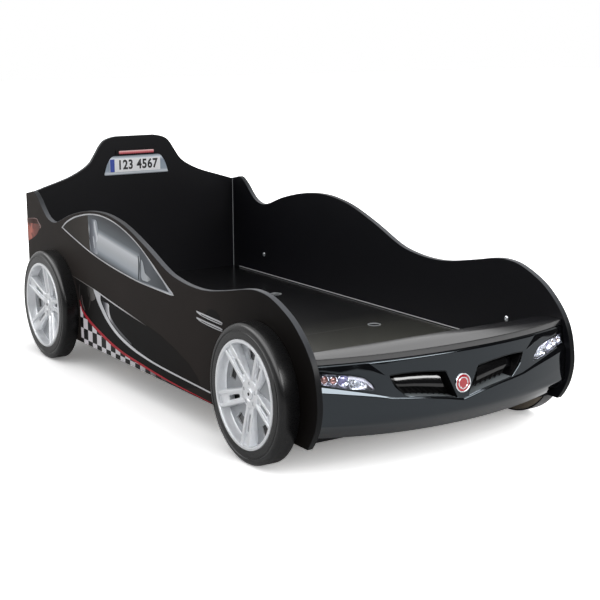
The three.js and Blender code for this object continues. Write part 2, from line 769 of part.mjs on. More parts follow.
// One spoke blade: its side view of [radius, height], given a thickness and turned to its place.
function spokeBlade(angle, hand) {
  const foot = dishFloor + RIM_FLOOR - 1;
  const reach = RIM_RADIUS - RIM_LIP + 2;
  const side = outline([
    [HUB_RADIUS / 2, foot],
    [DISH_RADIUS - 2, foot],
    [reach, rimFace - 8],
    [reach, rimFace - 3],
    [HUB_RADIUS, hubTop - 1],
    [HUB_RADIUS / 2, hubTop - 1],
  ]);
  const options = { depth: SPOKE_WIDTH, bevelEnabled: false };
  const blade = new THREE.ExtrudeGeometry(side, options).translate(0, 0, -SPOKE_WIDTH / 2);
  const lean = Math.atan2(SPOKE_OUTER_SPLAY - SPOKE_INNER_SPLAY, RIM_RADIUS - HUB_RADIUS);
  blade.translate(-HUB_RADIUS, 0, 0).rotateY(-hand * lean);
  return solid(blade.translate(HUB_RADIUS, 0, hand * SPOKE_INNER_SPLAY).rotateY(angle));
}

// An opening through the dish floor, between two pairs of blades or within one.
function dishWindow(angle, { inner, outer, halfWidth }) {
  const narrow = halfWidth * 0.8;
  const shape = outline([
    [inner, -narrow],
    [outer, -halfWidth],
    [outer, halfWidth],
    [inner, narrow],
  ]);
  const options = { depth: RIM_FLOOR + 4, bevelEnabled: false };
  const cutter = new THREE.ExtrudeGeometry(shape, options).rotateX(-Math.PI / 2);
  return solid(cutter.translate(0, dishFloor - 2, 0).rotateY(angle));
}

function rimBody(startDegrees) {
  const start = THREE.MathUtils.degToRad(startDegrees);
  const beside = Math.PI / SPOKE_PAIRS;
  const pairs = Array.from({ length: SPOKE_PAIRS }, (_, k) => start + 2 * beside * k);
  const openings = pairs.flatMap((angle) => [
    dishWindow(angle, SLOT),
    dishWindow(angle + beside, WINDOW),
  ]);
  const floor = wasm.Manifold.difference([solid(turned(rimProfile)), ...openings]);
  const blades = pairs.flatMap((angle) => [-1, 1].map((hand) => spokeBlade(angle, hand)));
  const nuts = pairs.map((angle) => {
    const recess = new THREE.CylinderGeometry(NUT_RADIUS, NUT_RADIUS, 2 * NUT_DEPTH, 10);
    return solid(recess.translate(NUT_CIRCLE, hubTop, 0).rotateY(angle + beside));
  });
  const body = wasm.Manifold.union([floor, solid(turned(hubProfile, 20)), ...blades]);
  return wasm.Manifold.difference([body, ...nuts]);
}

const capProfile = [
  [0, hubTop + FIT],
  [CAP_RADIUS, hubTop + FIT],
  [CAP_RADIUS, hubTop + CAP_HEIGHT - 2],
  [CAP_RADIUS - 3, hubTop + CAP_HEIGHT],
  [0, hubTop + CAP_HEIGHT],
];

const discRadius = TYRE_RADIUS - TYRE_WALL - FIT;
// A round rod on the wheel bolt's axis, between two heights along the wheel's own axis.
function rod(radius, from, to) {
  const piece = new THREE.CylinderGeometry(radius, radius, to - from, 16);
  return piece.translate(0, (from + to) / 2, BOLT_RISE);
}

for (const [place, s] of Object.entries(WHEEL_PLACES)) {
  const rim = rimBody(SPOKE_START[place]);
  for (const [side, sign] of Object.entries(SIDES)) {
    const wheel = new THREE.Group();
    wheel.position.set(sign * HALF_OUTER, -s, TYRE_RADIUS);
    wheel.rotation.z = -sign * (Math.PI / 2);
    bed.add(wheel);
    const name = (piece) => `${piece}_${place}_${side}`;
    const disc = solid(turned([[0, 0], [discRadius, 0], [discRadius, BOARD], [0, BOARD]]));
    const hole = solid(rod(BOLT_RADIUS + FIT, -OVERRUN, BOLT_BITE + OVERRUN));
    add(name("wheel_disc"), disc.subtract(hole), RAW_BOARD, wheel);
    add(name("tyre"), turned(tyreProfile()), TYRE_BLACK, wheel);
    add(name("rim"), rim, SILVER, wheel);
    add(name("wheel_cap"), turned(capProfile, 20), SILVER, wheel);

    const shank = rod(BOLT_RADIUS, -BOARD, BOLT_BITE);
    const head = rod(BOLT_HEAD_RADIUS, -BOARD - BOLT_HEAD, -BOARD);
    add(name("wheel_bolt"), solid(shank).add(solid(head)), DARK_PLASTIC, wheel);
  }
}

// ---- The finished bed stands centred on the middle of its own box
bed.updateMatrixWorld(true);
const box = new THREE.Box3().setFromObject(bed, true);
bed.position.y = -(box.min.y + box.max.y) / 2;
const part = new THREE.Group();
part.add(bed);
export default part;
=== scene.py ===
"""Dresses a packed single bed in the shape of a low sports car.

The nose points to -Y and the bed stands on Z = 0. A place along the car is its distance "s"
forwards from the tail. Sizes in this file are in millimetres unless a property says otherwise,
and at() and the other corner functions turn them to Blender's metres.
"""

import math
from functools import cache

import bpy
from bpy.props import FloatProperty, FloatVectorProperty, PointerProperty
from bpy.types import Operator, Panel, PropertyGroup
from mathutils import Matrix, Vector


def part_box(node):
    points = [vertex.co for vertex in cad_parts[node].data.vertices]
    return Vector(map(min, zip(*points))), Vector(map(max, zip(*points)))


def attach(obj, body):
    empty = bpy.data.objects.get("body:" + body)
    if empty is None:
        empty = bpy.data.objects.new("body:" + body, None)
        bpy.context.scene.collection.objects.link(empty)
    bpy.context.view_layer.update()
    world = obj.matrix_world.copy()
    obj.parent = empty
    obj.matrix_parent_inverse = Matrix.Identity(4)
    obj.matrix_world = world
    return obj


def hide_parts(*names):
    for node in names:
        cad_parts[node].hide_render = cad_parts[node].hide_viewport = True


bl_info = {"name": "Sports car bed", "version": (1, 0, 0), "blender": (4, 5, 0),
    "location": "3D View > Sidebar > Bed",
    "description": "Builds the looks of a sports car bed around its packed parts",
    "category": "Object"}

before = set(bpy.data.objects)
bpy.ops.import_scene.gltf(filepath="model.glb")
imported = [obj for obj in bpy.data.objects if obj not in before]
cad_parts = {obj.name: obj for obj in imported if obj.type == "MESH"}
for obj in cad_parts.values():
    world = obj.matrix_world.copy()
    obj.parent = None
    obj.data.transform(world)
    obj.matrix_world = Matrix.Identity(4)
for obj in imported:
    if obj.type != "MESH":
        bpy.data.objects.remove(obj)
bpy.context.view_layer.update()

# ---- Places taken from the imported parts
MM = 0.001
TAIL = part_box("side_panel_left")[1].y
HALF_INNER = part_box("headboard")[1].x / MM
HALF_OUTER = -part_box("side_panel_left")[0].x / MM
BOARD = HALF_OUTER - HALF_INNER
BOARD_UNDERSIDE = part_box("headboard")[0].z / MM
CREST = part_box("headboard")[1].z / MM
SHELF_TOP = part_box("front_shelf")[1].z / MM
SHELF_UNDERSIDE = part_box("front_shelf")[0].z / MM
FOOT_FACE = (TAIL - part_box("foot_board")[1].y) / MM
SIDES = {"left": -1, "right": 1}
PLACES = ("rear", "front")
CLEARANCE = 0.3  # between a piece and its neighbour


def s_range(node):
    """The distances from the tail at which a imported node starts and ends."""
    low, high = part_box(node)
    return (TAIL - high.y) / MM, (TAIL - low.y) / MM


# ---- Colours
def srgb(code):
    """Turns an sRGB hex colour to the linear one that Blender works in."""
    parts = [int(code[k : k + 2], 16) / 255 for k in (1, 3, 5)]
    linear = [c / 12.92 if c <= 0.04045 else ((c + 0.055) / 1.055) ** 2.4 for c in parts]
    return (*linear, 1.0)


def colour_property(name, description, code):
    return FloatVectorProperty(name=name, description=description, subtype="COLOR", size=4, min=0,
        max=1, default=srgb(code))


def length_property(name, description, default):
    return FloatProperty(name=name, description=description, default=default, unit="LENGTH",
        precision=4)


class BedSizes(PropertyGroup):
    """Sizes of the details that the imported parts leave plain"""

    board_edge: length_property("Board edge", "How far the edges of the boards are eased", 0.0013)
    film: length_property("Film", "Thickness of one layer of the film on the side panels", 0.0002)
    tyre_groove: length_property("Tyre groove", "Depth of the groove round each tyre", 0.0016)
    spoke_edge: length_property("Spoke edge", "How far the edges of the spokes are eased", 0.0022)


class BedColours(PropertyGroup):
    """Colours that an owner would change"""

    board: colour_property("Boards", "Melamine foil of the boards", "#0e0e12")
    print_black: colour_property("Print", "Ground of the print on the side panels", "#2a2624")
    bumper: colour_property("Bumper", "Gloss moulding of the nose", "#08080a")
    tyre: colour_property("Tyres", "Satin moulding of the tyres", "#101011")
    rim: colour_property("Rims", "Silver paint of the wheel rims", "#d6d8db")
    stripe: colour_property("Stripe", "Thin line along the sill", "#b02734")
    badge: colour_property("Badge", "Enamel of the round nose badge", "#b3202c")


class StageSettings(PropertyGroup):
    """Level of the plain studio light"""

    fill: FloatProperty(name="Fill", description="Even light from all around", default=0.62, min=0,
        max=2)
    sun: FloatProperty(name="Overhead", description="Soft light from above", default=1.15, min=0,
        max=5)
    gloss: FloatProperty(name="Soft box", description="Light box that shows in gloss", default=100,
        min=0, max=1000, unit="POWER")


# ---- Curves and outlines, as lists of flat points
def smooth(corners, steps=6):
    """Points of the even curve through the corners."""
    last = len(corners) - 1
    curve = []
    for k in range(last):
        a, b, c, d = (Vector(corners[min(max(j, 0), last)]) for j in range(k - 1, k + 3))
        for step in range(steps):
            t = step / steps
            square = 2 * a - 5 * b + 4 * c - d
            cube = 3 * b - a - 3 * c + d
            curve.append((2 * b + (c - a) * t + square * t**2 + cube * t**3) / 2)
    return [*curve, Vector(corners[last])]


def eased(corners, reaches, steps=5, closed=True):
    """The outline with each corner turned to a curve that starts that far from it."""
    count = len(corners)
    ends = () if closed else (0, count - 1)
    result = []
    for k in range(count):
        corner = Vector(corners[k])
        if k in ends:
            result.append(corner)
            continue
        reach = reaches if isinstance(reaches, (int, float)) else reaches[k]
        towards = [Vector(corners[(k + j) % count]) - corner for j in (-1, 1)]
        start, end = (corner + way.normalized() * min(reach, 0.45 * way.length) for way in towards)
        for step in range(steps + 1):
            t = step / steps
            result.append(start.lerp(corner, t).lerp(corner.lerp(end, t), t))
    return result


def grown(corners, distance):
    """The closed outline moved outwards; it runs anticlockwise."""
    count = len(corners)
    moved = []
    for k in range(count):
        before, here, after = (Vector(corners[j % count]) for j in (k - 1, k, k + 1))
        a, b = (here - before).normalized(), (after - here).normalized()
        out = Vector((a.y + b.y, -a.x - b.x))
        moved.append(here + out * distance / max(0.3, 1 + a.dot(b)))
    return moved


def along(line, share):
    """The point at a share of the way along an open line."""
    points = [Vector(p) for p in line]
    lengths = [(b - a).length for a, b in zip(points, points[1:])]
    left = share * sum(lengths)
    for k, length in enumerate(lengths):
        if left <= length or k == len(lengths) - 1:
            return points[k].lerp(points[k + 1], left / length)
        left -= length


def height_at(line, u):
    """The second value of a line of points at a first value of u."""
    for (u0, v0), (u1, v1) in zip(line, line[1:]):
        if u <= u1:
            break
    return v0 + (v1 - v0) * (u - u0) / (u1 - u0)


# ---- Corners in Blender's frame, in metres
def at(x, s, z):
    return Vector((x * MM, TAIL - s * MM, z * MM))


def on_side(x, outline):
    """Corners of an outline of (s, z) at a given x."""
    return [at(x, point[0], point[1]) for point in outline]


def across(s, outline):
    """Corners of an outline of (x, z) at a given s."""
    return [at(point[0], s, point[1]) for point in outline]


def level(z, outline):
    """Corners of an outline of (x, s) at a given height."""
    return [at(point[0], point[1], z) for point in outline]


def rectangle(x0, y0, x1, y1):
    return [(x0, y0), (x1, y0), (x1, y1), (x0, y1)]


# ---- Modelling steps
def fresh(name):
    """Names the piece that was just added."""
    piece = bpy.context.object
    piece.name = piece.data.name = name
    return piece


def start_new():
    bpy.ops.object.select_all(action="DESELECT")


def primitive(name, operator, **settings):
    start_new()
    operator(**settings)
    return fresh(name)


def cylinder(name, sides, radius, depth, place):
    return primitive(name, bpy.ops.mesh.primitive_cylinder_add, vertices=sides, radius=radius,
        depth=depth, location=place)

def only(piece):
    start_new()
    piece.select_set(True)
    bpy.context.view_layer.objects.active = piece


def edit(piece, *steps):
    """Runs steps of (operator, settings) on the whole piece in edit mode."""
    only(piece)
    bpy.ops.object.mode_set(mode="EDIT")
    for operator, settings in steps:
        bpy.ops.mesh.select_all(action="SELECT")
        operator(**settings)
    bpy.ops.object.mode_set(mode="OBJECT")
    return piece


def outwards(piece):
    return edit(piece, (bpy.ops.mesh.remove_doubles, {"threshold": 1e-6}),
        (bpy.ops.mesh.normals_make_consistent, {"inside": False}))


def modify(piece, kind, **settings):
    """Adds one modifier and applies it."""
    only(piece)
    modifier = piece.modifiers.new(kind.title(), kind)
    for key, value in settings.items():
        setattr(modifier, key, value)
    bpy.ops.object.modifier_apply(modifier=modifier.name)
    return piece


def ease_edges(piece, width, segments=2, angle=40):
    return modify(piece, "BEVEL", width=width, segments=segments, limit_method="ANGLE",
        angle_limit=math.radians(angle))


def shade(piece, angle=20):
    only(piece)
    bpy.ops.object.shade_smooth_by_angle(angle=math.radians(angle))
    return piece


def chain(name, corners, fill="NOTHING"):
    """A ring of edges through the corners, or one face between them."""
    add_circle = bpy.ops.mesh.primitive_circle_add
    piece = primitive(name, add_circle, vertices=len(corners), radius=1, fill_type=fill)
    for vertex, corner in zip(piece.data.vertices, corners):
        vertex.co = corner
    return piece


def slab(name, corners, push):
    """A solid of that outline, pushed out from its first face."""
    piece = chain(name, corners, "NGON")
    extrude = {"TRANSFORM_OT_translate": {"value": Vector(push)}}
    edit(piece, (bpy.ops.mesh.extrude_region_move, extrude))
    return outwards(piece)


def lathe(name, section, steps=96):
    """A solid turned from a closed section of (radius, height) about the local upright line."""
    piece = chain(name, [(radius * MM, 0, height * MM) for radius, height in section])
    spin = {"steps": steps, "angle": 2 * math.pi, "center": (0, 0, 0), "axis": (0, 0, 1)}
    edit(piece, (bpy.ops.mesh.spin, spin))
    return outwards(piece)


def sheet_of(name, columns, rows, place, facing):
    """A curved sheet: place(u, v) gives the corner at shares u and v of its two ways."""
    add_grid = bpy.ops.mesh.primitive_grid_add
    piece = primitive(name, add_grid, x_subdivisions=columns, y_subdivisions=rows, size=2)
    for vertex in piece.data.vertices:
        vertex.co = place((vertex.co.x + 1) / 2, (vertex.co.y + 1) / 2)
    piece.data.update()
    if sum((face.normal for face in piece.data.polygons), Vector()).dot(facing) < 0:
        piece.data.flip_normals()
    return piece


def drawn_out(sheet, distance):
    """Draws the sheet's outline forwards into walls round it."""
    only(sheet)
    bpy.ops.object.mode_set(mode="EDIT")
    bpy.ops.mesh.select_all(action="SELECT")
    bpy.ops.mesh.region_to_loop()
    out = {"value": (0, -distance * MM, 0)}
    bpy.ops.mesh.extrude_edges_move(TRANSFORM_OT_translate=out)
    bpy.ops.object.mode_set(mode="OBJECT")
    return sheet


def edit_faces(piece, numbers, *steps):
    """Runs steps of (operator, settings) on the faces of those numbers in edit mode."""
    only(piece)
    bpy.ops.object.mode_set(mode="EDIT")
    bpy.ops.mesh.select_mode(type="FACE")
    bpy.ops.mesh.select_all(action="DESELECT")
    bpy.ops.object.mode_set(mode="OBJECT")
    for face in piece.data.polygons:
        face.select = face.index in numbers
    bpy.ops.object.mode_set(mode="EDIT")
    for operator, settings in steps:
        operator(**settings)
    bpy.ops.object.mode_set(mode="OBJECT")
    return piece


def wall(piece, thickness):
    """Gives a sheet its thickness, away from its face."""
    modify(piece, "SOLIDIFY", thickness=thickness * MM, offset=-1)
    return outwards(piece)


def rod(name, path, radius, closed=False):
    """A round bead of that radius along a path of corners."""
    start_new()
    line = bpy.data.curves.new(name, "CURVE")
    line.dimensions = "3D"
    line.bevel_depth = radius * MM
    line.bevel_resolution = 2
    line.use_fill_caps = not closed
    strand = line.splines.new("POLY")
    strand.points.add(len(path) - 1)
    for point, corner in zip(strand.points, path):
        point.co = (*corner, 1)
    strand.use_cyclic_u = closed
    piece = bpy.data.objects.new(name, line)
    bpy.context.scene.collection.objects.link(piece)
    only(piece)
    bpy.ops.object.convert(target="MESH")
    return outwards(fresh(name))


def cut(piece, *cutters):
    """Takes each cutter's room out of the piece and discards the cutter."""
    for cutter in cutters:
        modify(piece, "BOOLEAN", object=cutter, operation="DIFFERENCE", solver="EXACT")
        bpy.data.objects.remove(cutter)
    return piece


def copied(piece, name, matrix):
    """A copy with its own mesh, whose place is in that mesh."""
    copy = piece.copy()
    copy.data = piece.data.copy()
    copy.name = copy.data.name = name
    bpy.context.scene.collection.objects.link(copy)
    copy.data.transform(matrix)
    if matrix.determinant() < 0:
        copy.data.flip_normals()
    copy.data.update()
    return copy


def mirrored(piece, name):
    return copied(piece, name, Matrix.Scale(-1, 4, (1, 0, 0)))


def moved(piece, matrix):
    piece.data.transform(matrix)
    piece.data.update()
    return piece


def joined(name, pieces):
    start_new()
    for piece in pieces:
        piece.select_set(True)
    bpy.context.view_layer.objects.active = pieces[0]
    bpy.ops.object.join()
    return fresh(name)


def paint(piece, *finishes, choose=None):
    """Gives the piece its finishes; choose(face) says which of them a face takes."""
    piece.data.materials.clear()
    for skin in finishes:
        piece.data.materials.append(skin)
    for face in piece.data.polygons:
        face.material_index = choose(face) if choose else 0
    return piece


def settle(piece, slot, *nodes, body="frame"):
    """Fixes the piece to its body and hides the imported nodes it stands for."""
    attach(piece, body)
    if nodes:
        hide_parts(*nodes)
    return piece


def complete(piece, skin, slot, *nodes, angle=20, body="frame"):
    """Paints a piece all over, smooths its curves and settles it."""
    return settle(shade(paint(piece, skin), angle), slot, *nodes, body=body)


# ---- Materials
OWN_PLACE = "own place"  # as an input: the place on the piece, in its Object coordinates


def add_node(tree, kind, inputs=None, **settings):
    """Adds one node; an input is a value, OWN_PLACE, or the output that feeds it."""
    node = tree.nodes.new(kind)
    for key, value in settings.items():
        setattr(node, key, value)
    for key, value in (inputs or {}).items():
        if value is OWN_PLACE:
            value = add_node(tree, "ShaderNodeTexCoord").outputs["Object"]
        if isinstance(value, bpy.types.NodeSocket):
            tree.links.new(value, node.inputs[key])
        else:
            node.inputs[key].default_value = value
    return node


def toned(tone, colour=None):
    """A linear colour from a hex code, from an owner's colour, or from a share of another one."""
    if isinstance(tone, float):
        return (*(min(1, c * tone) for c in colour[:3]), 1.0)
    return srgb(tone) if tone.startswith("#") else tuple(getattr(bpy.context.scene.bed_colours,
        tone))


def start_finish(name, colour, roughness, metallic=0.0, **more):
    """A new material and its node tree, with the shader's values that are the same all over."""
    made = bpy.data.materials.new(name)
    made.use_nodes = True
    values = {"Base Color": toned(colour), "Roughness": roughness, "Metallic": metallic}
    values.update({key.replace("_", " "): value for key, value in more.items()})
    for key, value in values.items():
        made.node_tree.nodes["Principled BSDF"].inputs[key].default_value = value
    return made, made.node_tree


def feed(tree, key, output):
    """Lets an output drive an input of the material's shader."""
    tree.links.new(output, tree.nodes["Principled BSDF"].inputs[key])


def per_metre(size):
    """Pattern scale that repeats once in a size given in millimetres."""
    return 1 / (size * MM)


def vary(tree, pattern, colours=None, roughness=None, bump=None):
    """Lets a pattern from 0 to 1 drive colour, roughness and bump between two values each."""
    if colours:
        ramp = add_node(tree, "ShaderNodeValToRGB", {"Fac": pattern})
        for element, colour in zip(ramp.color_ramp.elements, colours):
            element.color = colour
        feed(tree, "Base Color", ramp.outputs["Color"])
    if roughness:
        low, high = roughness
        spread = add_node(tree, "ShaderNodeMapRange",
            {"Value": pattern, "To Min": low, "To Max": high})
        feed(tree, "Roughness", spread.outputs["Result"])
    if bump:
        strength, height = bump
        relief = add_node(tree, "ShaderNodeBump", {"Height": pattern, "Strength": strength,
            "Distance": height * MM})
        feed(tree, "Normal", relief.outputs["Normal"])


def mottle(tree, size, detail=3.0):
    """A cloudy pattern from 0 to 1, of blots about that many millimetres wide."""
    inputs = {"Vector": OWN_PLACE, "Scale": per_metre(size), "Detail": detail}
    return add_node(tree, "ShaderNodeTexNoise", inputs).outputs["Fac"]


def stops_along(tree, axis, start, end, stops, place=OWN_PLACE):
    """Colours in bands along an axis, from start to end in metres; stops are (share, hex)."""
    parts = add_node(tree, "ShaderNodeSeparateXYZ", {"Vector": place})
    inputs = {"Value": parts.outputs[axis], "From Min": start, "From Max": end}
    share = add_node(tree, "ShaderNodeMapRange", inputs)
    ramp = add_node(tree, "ShaderNodeValToRGB", {"Fac": share.outputs["Result"]})
    band = ramp.color_ramp
    while len(band.elements) < len(stops):
        band.elements.new(0.5)
    for element, (position, _) in zip(band.elements, stops):
        element.position = position
    for element, (_, code) in zip(band.elements, stops):
        element.color = srgb(code)
    return ramp.outputs["Color"]


def blotted(tree, colours, size, low, high):
    """Colours from a socket, made darker and lighter in blots of a size in millimetres."""
    inputs = {"Value": mottle(tree, size), "To Min": low, "To Max": high}
    blots = add_node(tree, "ShaderNodeMapRange", inputs)
    inputs = {0: colours, "Scale": blots.outputs["Result"]}
    ground = add_node(tree, "ShaderNodeVectorMath", inputs, operation="SCALE")
    feed(tree, "Base Color", ground.outputs["Vector"])


def mottled(name, colour, roughness, size, spread, tones=None, tone_size=None, bump=None,
    detail=3.0, cells=False, along=None, **more):
    """A material whose roughness, bump and tones follow blots, or cells, of a size in mm."""
    made, tree = start_finish(name, colour, roughness, **more)
    if along:
        feed(tree, "Base Color", stops_along(tree, *along))
    if cells:
        inputs = {"Vector": OWN_PLACE, "Scale": per_metre(size)}
        pattern = add_node(tree, "ShaderNodeTexVoronoi", inputs).outputs["Distance"]
    else:
        pattern = mottle(tree, size, detail)
    vary(tree, pattern, roughness=spread, bump=bump)
    if tones:
        pattern = mottle(tree, tone_size) if tone_size else pattern
        vary(tree, pattern, colours=[toned(tone, toned(colour)) for tone in tones])
    return made


def heights(node):
    return [corner.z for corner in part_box(node)]


# Each finish starts from its colour and roughness; blots of a size in millimetres spread its
# roughness, its bump (strength, height in mm) and its tones. A colour is a hex code or an
# owner's colour, and a tone is a hex code or a share of the colour.
FINISHES = {
    # Melamine-faced fibreboard, pressed against a pearl plate: near-black, satin, with a fine
    # pebble. The pebble is drawn at 1.6 mm, coarser than the real 0.3 mm, so that it shows.
    "melamine_foil": dict(colour="board", roughness=0.42, size=1.6, spread=(0.36, 0.5),
        tones=(0.85, 1.2), tone_size=180, bump=(0.12, 0.05), Specular_IOR_Level=0.14),
    # The same foil with a smoother, half-gloss face on the shelf over the nose.
    "shelf_foil": dict(colour="board", roughness=0.23, size=3, spread=(0.2, 0.26),
        bump=(0.03, 0.05), Specular_IOR_Level=1.0, IOR=1.62),
    # ABS edge banding, planed and buffed: satin grey, painted paler near the top than by the floor:
    # the dark low down is painted shade, and the pale band near the top a painted reflection.
    "edge_band": dict(colour="#56585c", roughness=0.38, size=22, spread=(0.3, 0.45),
        bump=(0.05, 0.05), Specular_IOR_Level=0.1, along=("Z", 0.1, 0.6, ((0, "#131415"),
        (0.45, "#17181a"), (0.66, "#4a4c50"), (0.84, "#56585c"), (1, "#202225")))),
    # Vacuum-formed ABS with a gloss acrylic face: deep black, mirror-like, with the slight
    # waviness that a formed sheet has.
    "gloss_abs": dict(colour="bumper", roughness=0.07, size=60, detail=1.0, spread=(0.05, 0.09),
        bump=(0.1, 0.6), IOR=1.57, Specular_Tint=srgb("#e6f4ff")),
    # The same ABS with a softer polish.
    "satin_abs": dict(colour="bumper", roughness=0.2, size=60, detail=1.0, spread=(0.1, 0.14),
        bump=(0.05, 0.6), IOR=1.57),
    # The same ABS on the floor behind the opening's lip, coloured grey and hazy: the grey is a
    # painted reflection.
    "ledge_abs": dict(colour="#7b8184", roughness=0.5, size=8, spread=(0.42, 0.55),
        bump=(0.05, 0.05)),
    # Blow-moulded polyethylene, satin black, with a light spark-eroded grain.
    "tyre_moulding": dict(colour="tyre", roughness=0.28, size=1.8, spread=(0.24, 0.32),
        tones=(0.9, 1.15), bump=(0.05, 0.05), Specular_IOR_Level=0.3),
    # Silver metal-flake lacquer on moulded ABS: bright, slightly grainy and soft in its gloss.
    "rim_paint": dict(colour="rim", roughness=0.3, metallic=0.3, size=1.4, spread=(0.26, 0.36),
        tones=(0.92, 1.2), bump=(0.08, 0.04)),
    # The same lacquer on the floor of the rim's depths, darker and matt: the darkness is painted
    # shade.
    "rim_recess": dict(colour="#a2a5a9", roughness=0.45, metallic=0.3, size=1.4,
        spread=(0.4, 0.5), tones=("#7d8084", "#a3a6aa"), bump=(0.08, 0.04)),
    # Bright chrome plate on moulded plastic, clean with a trace of haze.
    "chrome": dict(colour="#e4e6ea", roughness=0.1, metallic=1.0, size=9, spread=(0.06, 0.16)),
    # Silver ink under the clear film: pale grey that shifts a little along its length.
    "silver_print": dict(colour="#b6b7ba", roughness=0.35, size=70, spread=(0.3, 0.4),
        tones=("#8f9094", "#dcdde0"), Specular_IOR_Level=0.2),
    # Red ink under the clear film, laid on a little unevenly.
    "stripe_red": dict(colour="stripe", roughness=0.4, size=30, spread=(0.34, 0.46),
        tones=(0.75, 1.15), Specular_IOR_Level=0.1),
    # Vacuum-metallised reflector with fine facets: bright silver broken up by violet and dark.
    "lamp_silver": dict(colour="#a9a6c0", roughness=0.18, metallic=0.7, size=7, cells=True,
        spread=(0.1, 0.3), tones=("#f2f1fb", "#4f4b66"), bump=(0.6, 1.2)),
    # Medium-density fibreboard, sawn: even grey-brown with a fine fibrous fleck.
    "raw_fibreboard": dict(colour="#a59a8c", roughness=0.9, size=5, detail=6.0,
        spread=(0.82, 0.95), tones=("#958a7c", "#b5ab9e"), bump=(0.3, 0.2)),
    # Pressed steel with bright zinc plate: cool grey with the soft blotches of the plating.
    "zinc_steel": dict(colour="#b4b7ba", roughness=0.34, metallic=1.0, size=6,
        spread=(0.26, 0.44), tones=("#a3a6aa", "#c9ccce")),
    # Extruded or moulded grey ABS, satin, with a trace of flow in its colour.
    "grey_plastic": dict(colour="#9da0a3", roughness=0.4, size=12, spread=(0.34, 0.48),
        tones=("#8f9295", "#abaeb1"), bump=(0.1, 0.05)),
    # Extruded light grey PVC strip.
    "pale_plastic": dict(colour="#e4e5e7", roughness=0.35, size=4, spread=(0.3, 0.42),
        bump=(0.05, 0.05)),
    # Moulded black polypropylene, matt and finely grained.
    "dark_plastic": dict(colour="#08080a", roughness=0.5, size=2.5, spread=(0.42, 0.6),
        tones=("#060607", "#0d0d0f"), bump=(0.2, 0.08), Specular_IOR_Level=0.15),
    # Moulded clear polycarbonate: glass-clear and glossy with a faint waviness.
    "clear_polycarbonate": dict(colour="#f4f6fa", roughness=0.03, size=40, detail=1.0,
        spread=(0.02, 0.05), IOR=1.3, Transmission_Weight=1.0),
    # Silvered light guides, painted white along their edges as a painted glow.
    "lamp_white": dict(colour="#eceaf6", roughness=0.2, size=5, detail=1.0, spread=(0.1, 0.3),
        tones=("#c9c5dc", "#ffffff"), bump=(0.4, 0.6)),
    # Retroreflective plate film: bright white with a fine honeycomb 3 mm across.
    "plate_film": dict(colour="#f3f4f6", roughness=0.35, size=3, cells=True, spread=(0.3, 0.42),
        tones=("#fafafc", "#eceef2")),
    # Blue and black plate inks, rolled on thin.
    "plate_blue": dict(colour="#2a46a8", roughness=0.35, size=8, spread=(0.3, 0.42),
        tones=("#243d98", "#3453bc")),
    "plate_ink": dict(colour="#111113", roughness=0.4, size=5, spread=(0.34, 0.5),
        tones=("#0c0c0e", "#1c1c20")),
    # Silver-grey film, brighter along its upper and lower edges.
    "surround_print": dict(colour="#9aa6b3", roughness=0.28, metallic=0.2, size=20,
        spread=(0.24, 0.34), along=("Z", *heights("plate_surround"), ((0.0, "#7c858f"),
        (0.08, "#dfe5ec"), (0.22, "#9eabb9"), (0.7, "#8d9aa9"), (0.86, "#dbe4ee"),
        (1.0, "#7d8792")))),
    # Vitreous enamel under a clear coat: deep red and glassy.
    "badge_enamel": dict(colour="badge", roughness=0.12, size=10, spread=(0.1, 0.2),
        tones=(0.8, 1.2), Coat_Weight=1.0),
}
# Coated reflector glass: a bright tint mottled with darker blots, glossy.
REFLECTOR_TINTS = {"amber_glass": ("#6d3c3a", "#c99c92"), "violet_glass": ("#5a5480", "#c4c0e2"),
    "lamp_glass": ("#59606a", "#d9e0ea")}
for tint, tones in REFLECTOR_TINTS.items():
    FINISHES[tint] = dict(colour=tones[1], roughness=0.08, metallic=0.6, size=8,
        spread=(0.05, 0.14), tones=tones)


@cache
def finish(name):
    return mottled(name, **FINISHES[name])


@cache
def deck_foil():
    # The melamine foil on the deck, smoother, and painted paler and warmer towards the front: a
    # painted sheen.
    made, tree = start_finish("deck_foil", "board", 0.24, Specular_IOR_Level=0.9)
    vary(tree, mottle(tree, 2.4), roughness=(0.21, 0.27), bump=(0.03, 0.05))
    stops = ((0, "#08080a"), (0.35, "#0b0b0b"), (0.9, "#3b3b35"), (1, "#3f3f38"))
    blotted(tree, stops_along(tree, "Y", 0.12, -0.52, stops), 200, 0.85, 1.15)
    return made


@cache
def printed_foil():
    # Digitally printed melamine: a warm black ground under a clear matt film, painted darker
    # towards the nose as painted shade.
    made, tree = start_finish("printed_foil", "print_black", 0.4, Specular_IOR_Level=0.03)
    vary(tree, mottle(tree, 2), roughness=(0.4, 0.52), bump=(0.1, 0.05))
    stops = ((0, "#ffffff"), (0.35, "#f0eeee"), (0.68, "#e2dfdf"), (0.86, "#7a7878"),
        (1, "#5a5858"))
    shares = stops_along(tree, "Y", TAIL, TAIL - 2080 * MM, stops)
    tint = add_node(tree, "ShaderNodeMix", {0: 1.0, 6: shares, 7: toned("print_black")},
        data_type="RGBA", blend_type="MULTIPLY")
    blotted(tree, tint.outputs[2], 240, 0.8, 1.2)
    return made


def fading_print(name, start, end, *stops):
    """Ink under the clear film that changes colour forwards along the car between two places."""
    return mottled(name, stops[0][1], 0.4, 2, (0.34, 0.46), bump=(0.08, 0.05),
        Specular_IOR_Level=0.03, along=("Y", TAIL - start * MM, TAIL - end * MM, stops))


